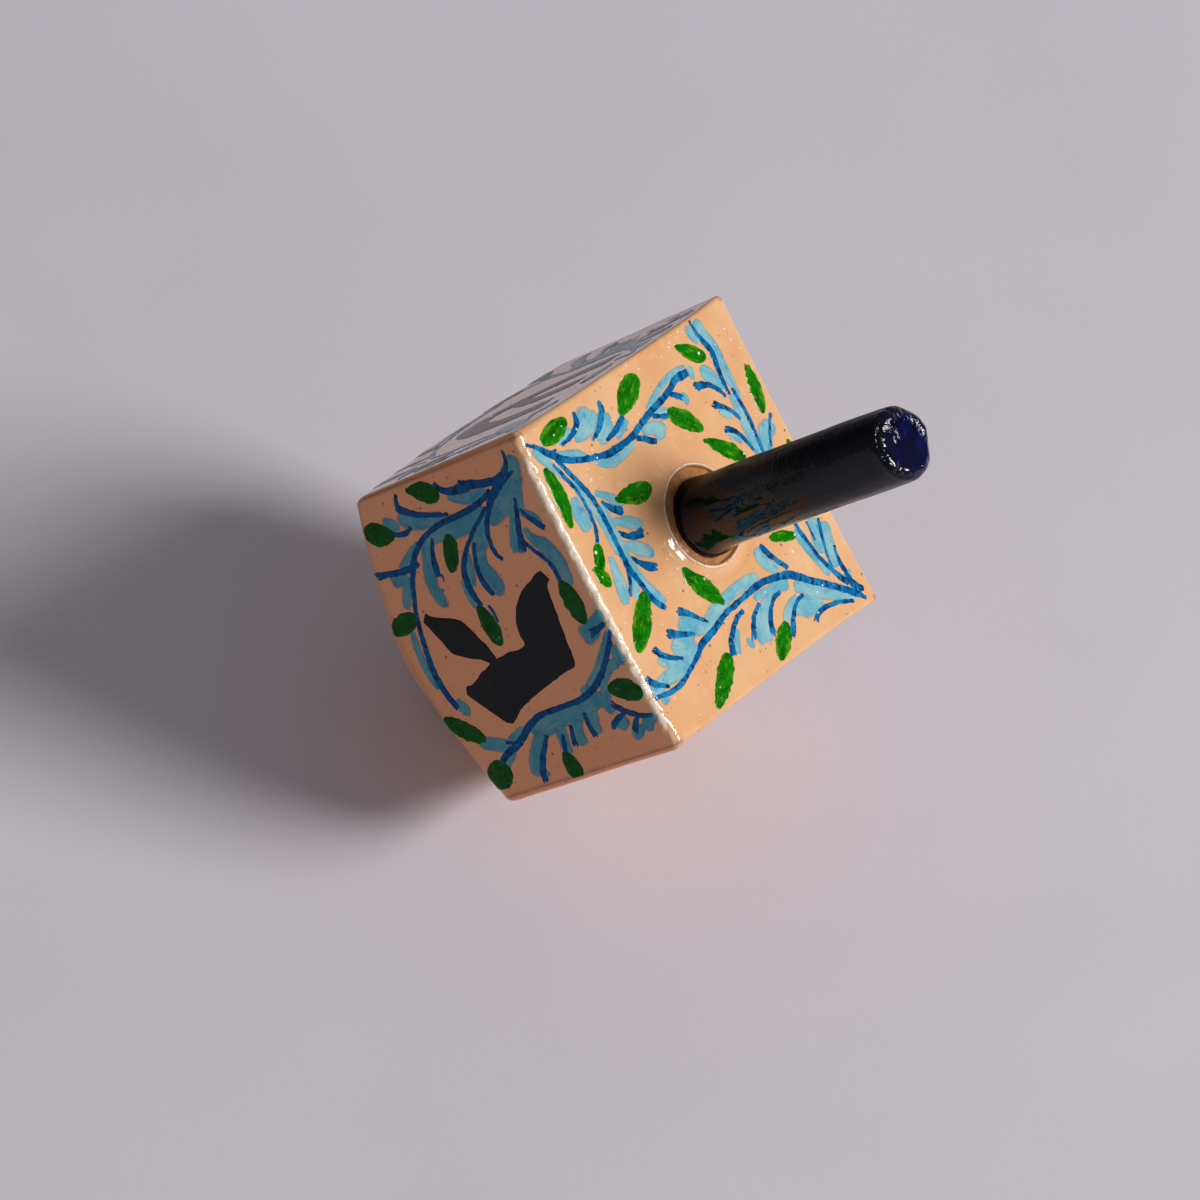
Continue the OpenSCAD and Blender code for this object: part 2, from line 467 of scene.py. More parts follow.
def makeGlue(material):
    # A ring with a domed, uneven top that leans up against the dowel, and a thin sleeve below
    g = glueRing
    profile = [(g["outer"], -0.7), (g["outer"], -0.2), (4.47, -0.02)]
    for s in np.linspace(0, 1, 11):
        dome = math.sin(math.pi * (0.12 + 0.5 * s))
        profile.append((4.42 - 0.95 * s, g["top"] - 0.22 * (1 - dome)))
    profile += [(3.2, 0.1), (3.0, -0.6), (2.55, -0.7), (g["inner"], -1.2), (g["inner"], -13.8)]
    profile += [(2.64, -13.8), (2.64, -1.0), (2.9, -0.8)]
    profile = np.array(profile)
    spin = turnDirections(g["columns"])
    lift = sineNoise(spin * 4.0, 2.6, 41, 3) * np.clip(profile[:, 1][:, None] + 0.4, 0, 0.6) * 0.1
    radius = profile[:, 0][:, None] * np.ones(len(spin))
    height = profile[:, 1][:, None] + lift
    drawn = np.clip((radius - 3.3) / 1.0, 0, 1)
    offX, offY = bead["centre"]
    x, y = radius * spin[:, 0] + offX * drawn, radius * spin[:, 1] + offY * drawn
    grid = np.stack([x, y, height], -1)
    rows = len(profile)
    quads = np.concatenate([gridFaces(rows, g["columns"], True), closingBand(rows, g["columns"])])
    piece = makeMesh("glueRing", grid.reshape(-1, 3), quads, None, material)
    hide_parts("glue_sleeve")
    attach(piece, "root")
    return piece


# Dowel stem

dowel = dict(
    radius=3.3,
    tenon=2.5,
    out=25.0,
    endRound=0.95,
    foot=-13.85,
    shoulder=-0.45,
    pool=0.3,  # how much thicker the lacquer is where it gathered at the root
    cuts=0.07,  # depth of the long flat cuts
    wave=0.05,  # depth of the slow wave along it
    bevel=0.8,  # how far the end drops at its chipped side
    rows=150,
    columns=180,
)


def makeStem(material):
    # A whittled bar: long flat cuts round it, a slow wave along it, lacquer gathered at its
    # root, an end with an uneven rim that is bevelled on its lower left; below the shoulder a
    # plain thinner tenon
    d = dowel
    heights = np.linspace(d["shoulder"], d["out"] - d["endRound"], d["rows"])
    profile = [(d["radius"], z) for z in heights]
    for turn in np.linspace(8, 90, 10):
        t = math.radians(turn)
        offset = d["endRound"] * (1 - math.cos(t))
        profile.append((d["radius"] - offset, d["out"] - d["endRound"] * (1 - math.sin(t))))
    for radius in (2.3, 2.0, 1.5, 1.0, 0.5):
        profile.append((radius, d["out"]))
    inner = d["tenon"]
    tenon = [(0.6, d["foot"]), (1.6, d["foot"]), (2.2, d["foot"]), (2.45, d["foot"] + 0.2)]
    tenon += [(inner, d["foot"] + 0.5), (inner, -7.0), (inner, -1.0)]
    tenon += [(2.52, d["shoulder"] - 0.02), (3.0, d["shoulder"] - 0.02)]
    profile = np.array(tenon + profile)
    angle = np.arange(d["columns"]) / d["columns"] * 2 * math.pi
    spin = np.stack([np.cos(angle), np.sin(angle)], -1)
    z = profile[:, 1][:, None] * np.ones(len(angle))
    base = profile[:, 0][:, None] * np.ones(len(angle))
    solid = np.stack([base * spin[:, 0], base * spin[:, 1], z], -1)
    wave = sineNoise(solid * (1, 1, 0.28), 5.5, 51, 3)
    facets = np.abs(np.sin(angle * 3.5 + 0.7 + 0.05 * z)) - 0.64
    free = np.clip((z - d["shoulder"]) / 1.5, 0, 1)
    reach = np.clip(base / d["radius"], 0, 1)
    rim = np.exp(-(((z - d["out"]) / 0.9) ** 2)) * reach**3
    radius = base + (d["wave"] * wave + d["cuts"] * facets * (1 - rim)) * free * reach
    lumps = 0.12 * sineNoise(solid, 3.8, 52, 2) + 0.055 * sineNoise(solid, 1.8, 54, 2)
    radius = radius + rim * (lumps - 0.06)
    below = 1 + 0.5 * (0.9 * spin[:, 0] - 0.43 * spin[:, 1])
    radius = radius + d["pool"] * below * np.exp(-(((z - 0.1) / 1.5) ** 2)) * (reach > 0.95)
    nearEnd = np.exp(-(((z - d["out"]) / 0.5) ** 2))
    toRim = np.clip(-(0.95 * spin[:, 1] + 0.3 * spin[:, 0]) * reach - 0.17, 0, 1)
    height = z + nearEnd * (0.8 * lumps - 0.1 - d["bevel"] * toRim**1.3)
    grid = np.stack([radius * spin[:, 0], radius * spin[:, 1], height], -1)
    rows = len(profile)
    quads = gridFaces(rows, d["columns"], True)
    points = grid.reshape(-1, 3)
    poles = np.array([[0, 0, d["foot"]], [0, 0, points[-1, 2]]])
    ring = np.arange(d["columns"])
    after = (ring + 1) % d["columns"]
    top = (rows - 1) * d["columns"]
    foot = np.stack([after, ring, np.full_like(ring, rows * d["columns"])], -1)
    cap = np.stack([top + ring, top + after, np.full_like(ring, rows * d["columns"] + 1)], -1)
    points = np.concatenate([points, poles])
    endFace = np.clip((points[:, 2] - d["out"] + 0.5) / 0.3, 0, 1)
    reach = np.hypot(points[:, 0], points[:, 1]) / d["radius"]
    rim = np.exp(-(((points[:, 2] - d["out"]) / 0.9) ** 2)) * np.clip((reach - 0.5) / 0.3, 0, 1)
    back = (0.414 * points[:, 1] - 0.877 * points[:, 0]) / d["radius"]
    coarse = np.clip(back + 0.2, 0.06, 1)
    floats = dict(endFace=endFace, rim=rim, along=points[:, 2], coarse=coarse)
    fans = np.concatenate([foot, cap])
    piece = makeMesh("stemDowel", points, quads, fans, material, None, floats)
    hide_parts("stem")
    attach(piece, "root")
    return piece


# Painting

# Each face's own two directions, as seen from outside with the stem up: u to the right and
# v up, with v = 0 at the stem end; on the stem end itself u is x and v is y
faceFrames = dict(
    top=((0, 0, 0), (1, 0, 0), (0, 1, 0), (0, 0, -1)),
    front=((0, -15, 0), (1, 0, 0), (0, 0, 1), (0, 1, 0)),
    under=((15, 0, 0), (0, 1, 0), (0, 0, 1), (-1, 0, 0)),
    rear=((0, 15, 0), (-1, 0, 0), (0, 0, 1), (0, -1, 0)),
    upper=((-15, 0, 0), (0, -1, 0), (0, 0, 1), (1, 0, 0)),
)
seenFaces = ("top", "front")  # painted along the camera's line of sight


def insideFace(face, u, v):
    # Slides places that lie past a face's border back to it: the long edges, the stem end's
    # edge and the arched fold to the belly
    if face == "top":
        return np.clip(u, -14.85, 14.85), np.clip(v, -15.4, 14.85)
    limit = 14.85 - block["draft"] * np.abs(v)
    alongX = dict(front=1.0, under=0.0, rear=-1.0, upper=0.0)[face]
    drift = block["skew"] * np.abs(v) * alongX
    u = np.clip(u, drift - limit, drift + limit)
    x = u * alongX + dict(under=15.0, upper=-15.0).get(face, 0.0)
    fold = bellyDepth(np.hypot(u, block["halfWidth"])) + block["bellyTilt"] * x
    fold = fold - (0.12 if face == "front" else 0.5)
    return u, np.clip(v, -fold, -0.8 if face == "front" else -0.1)


def paintPlace(face, u, v):
    # From a point of a face's plane to the skin: along the camera's line on the two faces in
    # view, straight in on the others
    u, v = insideFace(face, u, v)
    origin, right, up, inward = [np.array(part, float) for part in faceFrames[face]]
    plane = origin + u[..., None] * right + v[..., None] * up
    if face in seenFaces:
        sight = plane - uprightEye
        sight = sight / np.linalg.norm(sight, axis=-1, keepdims=True)
    else:
        sight = np.broadcast_to(inward, plane.shape)
    skin = firstMeeting(plane, sight)
    return skin, fieldNormal(skin)


def smoothPath(points, step):
    # Cubic through all the points (Catmull-Rom, by chord length), sampled evenly
    points = np.array(points, float)
    if len(points) == 2:
        points = np.stack([points[0], (points[0] + points[1]) / 2, points[1]])
    before = 2 * points[0] - points[1]
    behind = 2 * points[-1] - points[-2]
    full = np.concatenate([before[None], points, behind[None]])
    samples = []
    for i in range(1, len(full) - 2):
        p0, p1, p2, p3 = full[i - 1 : i + 3]
        span = max(int(np.linalg.norm((p2 - p1)[:2]) / step), 2)
        t = (np.arange(span) / span)[:, None]
        curve = 2 * p1 + (p2 - p0) * t + (2 * p0 - 5 * p1 + 4 * p2 - p3) * t**2
        samples.append(0.5 * (curve + (3 * p1 - p0 - 3 * p2 + p3) * t**3))
    samples.append(points[-1][None])
    return np.concatenate(samples)


brush = dict(step=0.16, across=10, edgeWobble=0.045, sink=0.03, washWidth=1.85, leafWidth=1.08)


class PaintBatch:
    # Gathers strokes of one paint on one face into one mesh

    def __init__(self, name, face, material, height):
        self.name, self.face, self.material, self.height = name, face, material, height
        self.points, self.quads, self.uv, self.rims, self.smooth = [], [], [], [], []
        self.count, self.strokes = 0, 0

    def addSheet(self, u, v, uv, dome, height, rim):
        # A closed skin: the painted side stands on the ground by the dome's height, and the
        # back lies just under the ground, shaded flat so that the rim isn't darkened
        skin, normal = paintPlace(self.face, u, v)
        rows, columns = u.shape
        lift = height + 0.0008 * (self.strokes % 9)
        front = skin + normal * (lift * dome - brush["sink"] * (dome <= 0))[..., None]
        back = skin - normal * (brush["sink"] * 2)
        back[0], back[-1] = front[0], front[-1]
        back[:, 0], back[:, -1] = front[:, 0], front[:, -1]
        quads = gridFaces(rows, columns, False)
        total = rows * columns
        self.points += [front.reshape(-1, 3), back.reshape(-1, 3)]
        self.quads += [quads + self.count, quads[:, ::-1] + self.count + total]
        self.uv += [uv.reshape(-1, 2), uv.reshape(-1, 2)]
        self.rims += [rim.ravel(), rim.ravel()]
        self.smooth += [np.ones(len(quads), bool), np.zeros(len(quads), bool)]
        self.count += 2 * total
        self.strokes += 1

    def stroke(self, path, start=0.6, end=0.9, ragged=0.0, wobble=1.0, edge=6):
        # A band along a smooth path, as wide as the path's third values say, with wobbling
        # edges; start and end say how blunt its ends are, edge how square its sides stand
        line = smoothPath(path, brush["step"])
        place, width = line[:, :2], np.maximum(line[:, 2], 0.12)
        along = np.gradient(place, axis=0)
        along = along / np.maximum(np.linalg.norm(along, axis=1, keepdims=True), 1e-6)
        aside = np.stack([-along[:, 1], along[:, 0]], -1)
        length = np.concatenate([[0], np.cumsum(np.linalg.norm(np.diff(place, axis=0), axis=1))])
        fromEnd = length[-1] - length
        startLength = 0.5 * width[0] * start + 0.05
        endLength = 0.5 * width[-1] * end + 0.05
        rounding = np.sqrt(np.clip(1 - (1 - np.clip(length / startLength, 0, 1)) ** 2, 0, 1))
        rounding *= np.sqrt(np.clip(1 - (1 - np.clip(fromEnd / endLength, 0, 1)) ** 2, 0, 1))
        seed = 1000 + self.strokes * 7 + len(self.name)
        t = np.linspace(-1, 1, brush["across"] + 1)
        t = np.sign(t) * np.abs(t) ** 0.8
        alongOnly = np.stack([length, 0 * length], -1)
        wobbleL = sineNoise(alongOnly, 0.9, seed, 3) * brush["edgeWobble"] * wobble
        wobbleR = sineNoise(alongOnly, 0.9, seed + 1, 3) * brush["edgeWobble"] * wobble
        left = (width / 2 + wobbleL) * rounding
        right = (width / 2 + wobbleR) * rounding
        half = np.where(t[None] < 0, left[:, None], right[:, None])
        u = place[:, :1] + aside[:, :1] * half * t
        v = place[:, 1:2] + aside[:, 1:2] * half * t
        if ragged > 0:
            near = np.exp(-fromEnd / 0.35)[:, None]
            hair = sineNoise(np.stack([t * width[-1], 0 * t], -1), 0.38, seed + 2, 3)[None]
            u = u + along[:, :1] * near * hair * ragged
            v = v + along[:, 1:2] * near * hair * ragged
        dome = np.clip(1 - np.abs(t) ** edge, 0, 1)[None] * np.clip(rounding * 1.6, 0, 1)[:, None]
        uv = np.stack([length[:, None] + 0 * t + self.strokes * 13.7, (t * half)], -1)
        toEnd = 1 - np.minimum(length, fromEnd) / np.maximum(width / 2, 0.1)
        rim = np.maximum(np.abs(t)[None], np.clip(toEnd, 0, 1)[:, None])
        self.addSheet(u, v, uv, dome, self.height, rim)

    def leaf(self, root, tip, width, bend=0.0, fullness=0.75, shift=0.5):
        # One pressed stroke from root to tip: the width follows a sine arch whose widest
        # place is shifted along it, and the middle line bends sideways
        root, tip = np.array(root, float), np.array(tip, float)
        run = tip - root
        side = np.array([-run[1], run[0]]) / max(np.linalg.norm(run), 1e-6)
        shares = np.linspace(0, 1, 9)
        power = math.log(0.5) / math.log(shift)
        arch = np.sin(math.pi * np.clip(shares, 0.02, 0.98) ** power) ** fullness
        path = [
            (*(root + run * s + side * bend * math.sin(math.pi * s)), width * a)
            for s, a in zip(shares, arch)
        ]
        self.stroke(path, 1.0, 1.0, 0.0, 1.6)

    def between(self, edgeA, edgeB):
        # A sheet between two smooth edges drawn in the same direction
        count = 90
        rails = []
        for edge in (edgeA, edgeB):
            line = smoothPath([(a, b, 0) for a, b in edge], 0.1)[:, :2]
            walk = np.concatenate([[0], np.cumsum(np.linalg.norm(np.diff(line, axis=0), axis=1))])
            shares = np.linspace(0, walk[-1], count)
            even = np.stack([np.interp(shares, walk, line[:, i]) for i in range(2)], -1)
            seed = 3000 + self.strokes * 5 + len(rails)
            ramp = np.minimum(1, np.minimum(shares, walk[-1] - shares) / 0.5)
            wobble = sineNoise(np.stack([shares, 0 * shares], -1), 1.4, seed, 3) * 0.04 * ramp
            along = np.gradient(even, axis=0)
            along = along / np.linalg.norm(along, axis=1, keepdims=True)
            rails.append(even + np.stack([-along[:, 1], along[:, 0]], -1) * wobble[:, None])
        t = np.sin(np.linspace(-1, 1, 25) * math.pi / 2) * 0.5 + 0.5
        grid = rails[0][:, None] * (1 - t)[None, :, None] + rails[1][:, None] * t[None, :, None]
        s = np.linspace(0, 1, count)
        dome = np.clip(1 - np.abs(2 * t - 1) ** 10, 0, 1)[None]
        dome = dome * np.clip(np.minimum(s, 1 - s) * 30, 0, 1)[:, None]
        uv = np.stack([s[:, None] * 20 + 0 * t + self.strokes * 31, t + 0 * s[:, None]], -1)
        rim = np.maximum(np.abs(2 * t - 1)[None], (np.abs(2 * s - 1) ** 12)[:, None])
        self.addSheet(grid[..., 0], grid[..., 1], uv, dome, self.height, rim)

    def build(self):
        points = np.concatenate(self.points)
        quads = np.concatenate(self.quads)
        uv = np.concatenate(self.uv)
        rims = np.concatenate(self.rims)
        smooth = np.concatenate(self.smooth)
        piece = makeMesh(
            self.name, points, quads, None, self.material, uv * 0.1, dict(rim=rims), smooth=smooth
        )
        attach(piece, "root")
        return piece


# Strokes of the two faces in view. Every stroke is a list of given places on the face:
# right, up, width, all in millimetres.

topWashes = [
    [(-11.5, 6.9, 0.5), (-11.75, 5.0, 0.45), (-11.4, 3.0, 0.5), (-10.9, 1.5, 0.5),
     (-10.4, 0.0, 0.3)],
    [(-11.6, 7.0, 0.4), (-10.9, 7.2, 0.5), (-10.4, 6.6, 0.4)],
    [(-8.6, -3.2, 0.4), (-8.45, -4.6, 0.6), (-8.35, -6.6, 0.7), (-8.7, -7.8, 0.5),
     (-9.2, -8.6, 0.3)],
    [(-9.4, -8.8, 0.5), (-10.6, -9.9, 0.5), (-11.2, -11.4, 0.5), (-11.6, -12.3, 0.4)],
    [(-13.2, -14.6, 0.5), (-12.1, -14.1, 0.7), (-10.9, -13.4, 0.5), (-9.6, -13.0, 0.3)],
    [(-10.0, 4.7, 0.5), (-9.2, 5.0, 0.6), (-8.9, 4.5, 0.4)],
    [(-9.1, 2.6, 0.6), (-9.4, 1.4, 0.8), (-9.7, 0.6, 0.3)],
    [(-9.0, -1.9, 0.5), (-8.9, -0.6, 0.9), (-8.3, 0.3, 1.2), (-7.6, 0.9, 0.9)],
    [(-10.7, -2.6, 0.4), (-10.1, -4.0, 0.5), (-9.9, -5.0, 0.5)],
    [(-11.2, -3.2, 0.5), (-12.0, -2.6, 0.4)],
    [(-12.4, -4.6, 0.6), (-11.2, -5.3, 1.1), (-10.6, -6.4, 1.0), (-10.9, -7.0, 0.5)],
    [(-13.4, -5.9, 0.9), (-12.7, -6.8, 1.9), (-12.2, -7.9, 1.7), (-11.8, -8.8, 0.8),
     (-11.9, -9.6, 0.4)],
    [(-12.7, -9.2, 0.5), (-12.5, -10.4, 0.4), (-12.2, -11.6, 0.3)],
    [(-14.7, 10.5, 0.7), (-13.0, 10.8, 0.8), (-11.5, 11.1, 0.9), (-9.5, 11.0, 0.9),
     (-7.6, 11.1, 0.6), (-6.4, 11.2, 0.3)],
    [(-14.6, 9.6, 0.8), (-13.8, 9.35, 0.7), (-12.6, 9.7, 0.4)],
    [(-7.5, 10.3, 0.5), (-5.5, 10.3, 0.7), (-4.0, 10.2, 0.8), (-2.0, 10.2, 0.9), (0.5, 10.0, 0.8),
     (3.0, 9.8, 0.6)],
    [(-8.0, 10.0, 0.4), (-9.4, 9.3, 0.9), (-10.2, 8.6, 1.0), (-10.5, 8.0, 0.5)],
    [(-5.6, 9.4, 0.4), (-6.3, 8.5, 0.6), (-6.9, 8.0, 0.4)],
    [(-3.2, 8.9, 0.4), (-4.3, 8.2, 0.6), (-4.9, 7.5, 0.4)],
    [(-2.2, 13.3, 0.7), (-3.0, 12.6, 1.1), (-2.9, 12.0, 1.2), (-1.4, 11.4, 0.9), (1.0, 11.3, 0.6)],
    [(6.4, 13.3, 1.0), (7.8, 12.8, 1.2), (9.2, 12.4, 1.1), (10.8, 12.2, 0.7)],
    [(5.6, 12.2, 0.9), (7.4, 11.7, 1.0), (9.0, 11.3, 0.6)],
    [(11.3, 13.4, 0.4), (12.0, 13.3, 0.5)],
    [(5.6, 9.5, 0.6), (7.6, 9.9, 0.6), (9.4, 10.5, 0.6), (10.9, 11.1, 0.7)],
    [(14.0, 12.6, 0.5), (12.9, 11.1, 0.8), (11.8, 9.4, 1.0), (10.9, 8.0, 1.0), (10.2, 6.9, 0.8),
     (9.7, 6.0, 0.8)],
    [(12.7, 8.7, 0.5), (12.3, 7.6, 1.2), (11.8, 6.5, 1.5), (11.6, 5.4, 1.1), (11.9, 4.7, 0.5)],
    [(10.6, 6.2, 0.4), (10.9, 4.9, 0.6), (11.4, 3.8, 0.7), (11.9, 3.1, 0.4)],
    [(4.9, 4.3, 0.7), (5.9, 4.1, 0.9), (6.9, 4.6, 0.9), (7.8, 5.6, 0.6)],
    [(9.3, 5.9, 0.8), (8.9, 4.4, 0.9), (9.1, 3.0, 0.9), (9.9, 1.7, 1.0), (11.2, 0.7, 1.1),
     (12.6, 0.3, 0.7)],
    [(8.7, 3.2, 0.6), (8.5, 1.8, 0.5), (8.6, 0.9, 0.4)],
    [(9.4, 1.3, 0.5), (10.4, 0.3, 0.8), (11.6, -0.3, 0.9), (12.4, -0.1, 0.6)],
    [(11.9, -1.4, 0.5), (11.5, -2.0, 0.5), (10.9, -1.7, 0.4)],
    [(7.1, 2.9, 0.5), (6.95, 1.2, 0.8), (6.9, -0.8, 0.8), (7.2, -2.8, 0.9), (7.5, -4.3, 1.0),
     (8.0, -5.6, 0.9), (8.3, -6.6, 0.6)],
    [(9.7, -2.4, 0.3), (10.6, -3.2, 0.5), (11.7, -3.9, 0.5)],
    [(8.1, -5.9, 0.6), (7.3, -7.2, 1.4), (6.6, -8.3, 1.1), (6.2, -8.8, 0.5)],
    [(8.8, -7.6, 0.9), (8.5, -9.0, 1.7), (7.9, -10.2, 1.2), (7.4, -10.8, 0.5)],
    [(9.2, -8.3, 0.9), (9.5, -10.0, 1.2), (9.7, -12.0, 1.1), (9.6, -13.6, 0.8), (9.9, -14.6, 0.9),
     (9.7, -15.6, 1.2)],
    [(9.2, -10.9, 0.4), (8.5, -12.3, 0.6), (7.7, -13.0, 0.4)],
    [(10.9, -13.6, 0.5), (11.1, -14.9, 0.6)],
    [(-5.9, -10.25, 0.35), (-3.6, -10.25, 0.45), (-1.0, -10.3, 0.4), (1.2, -10.1, 0.5),
     (3.0, -9.5, 0.7), (4.4, -8.8, 0.6)],
    [(-9.2, -12.1, 0.3), (-7.0, -11.6, 0.4), (-4.0, -11.25, 0.5), (-1.4, -11.3, 0.4)],
    [(-7.9, -12.8, 0.5), (-6.6, -13.1, 1.1), (-5.4, -13.1, 1.1), (-4.5, -12.9, 0.6)],
    [(-1.9, -12.2, 0.4), (-0.4, -12.5, 0.8), (1.2, -12.8, 1.0), (2.5, -13.3, 0.7)],
    [(-7.1, -10.5, 0.35), (-6.5, -9.6, 0.5), (-5.8, -8.8, 0.7), (-5.1, -8.1, 0.5),
     (-4.8, -7.7, 0.3)],
    [(-4.3, -10.4, 0.4), (-3.7, -9.2, 0.6), (-3.2, -8.2, 0.85), (-2.75, -7.3, 0.6),
     (-2.5, -6.7, 0.3)],
    [(-2.2, -10.6, 0.4), (-1.6, -9.7, 0.6), (-0.9, -8.7, 1.0), (-0.2, -7.8, 0.8), (0.3, -7.2, 0.4)],
    [(0.6, -10.9, 0.4), (1.8, -11.3, 0.6), (2.6, -11.9, 0.4)],
]

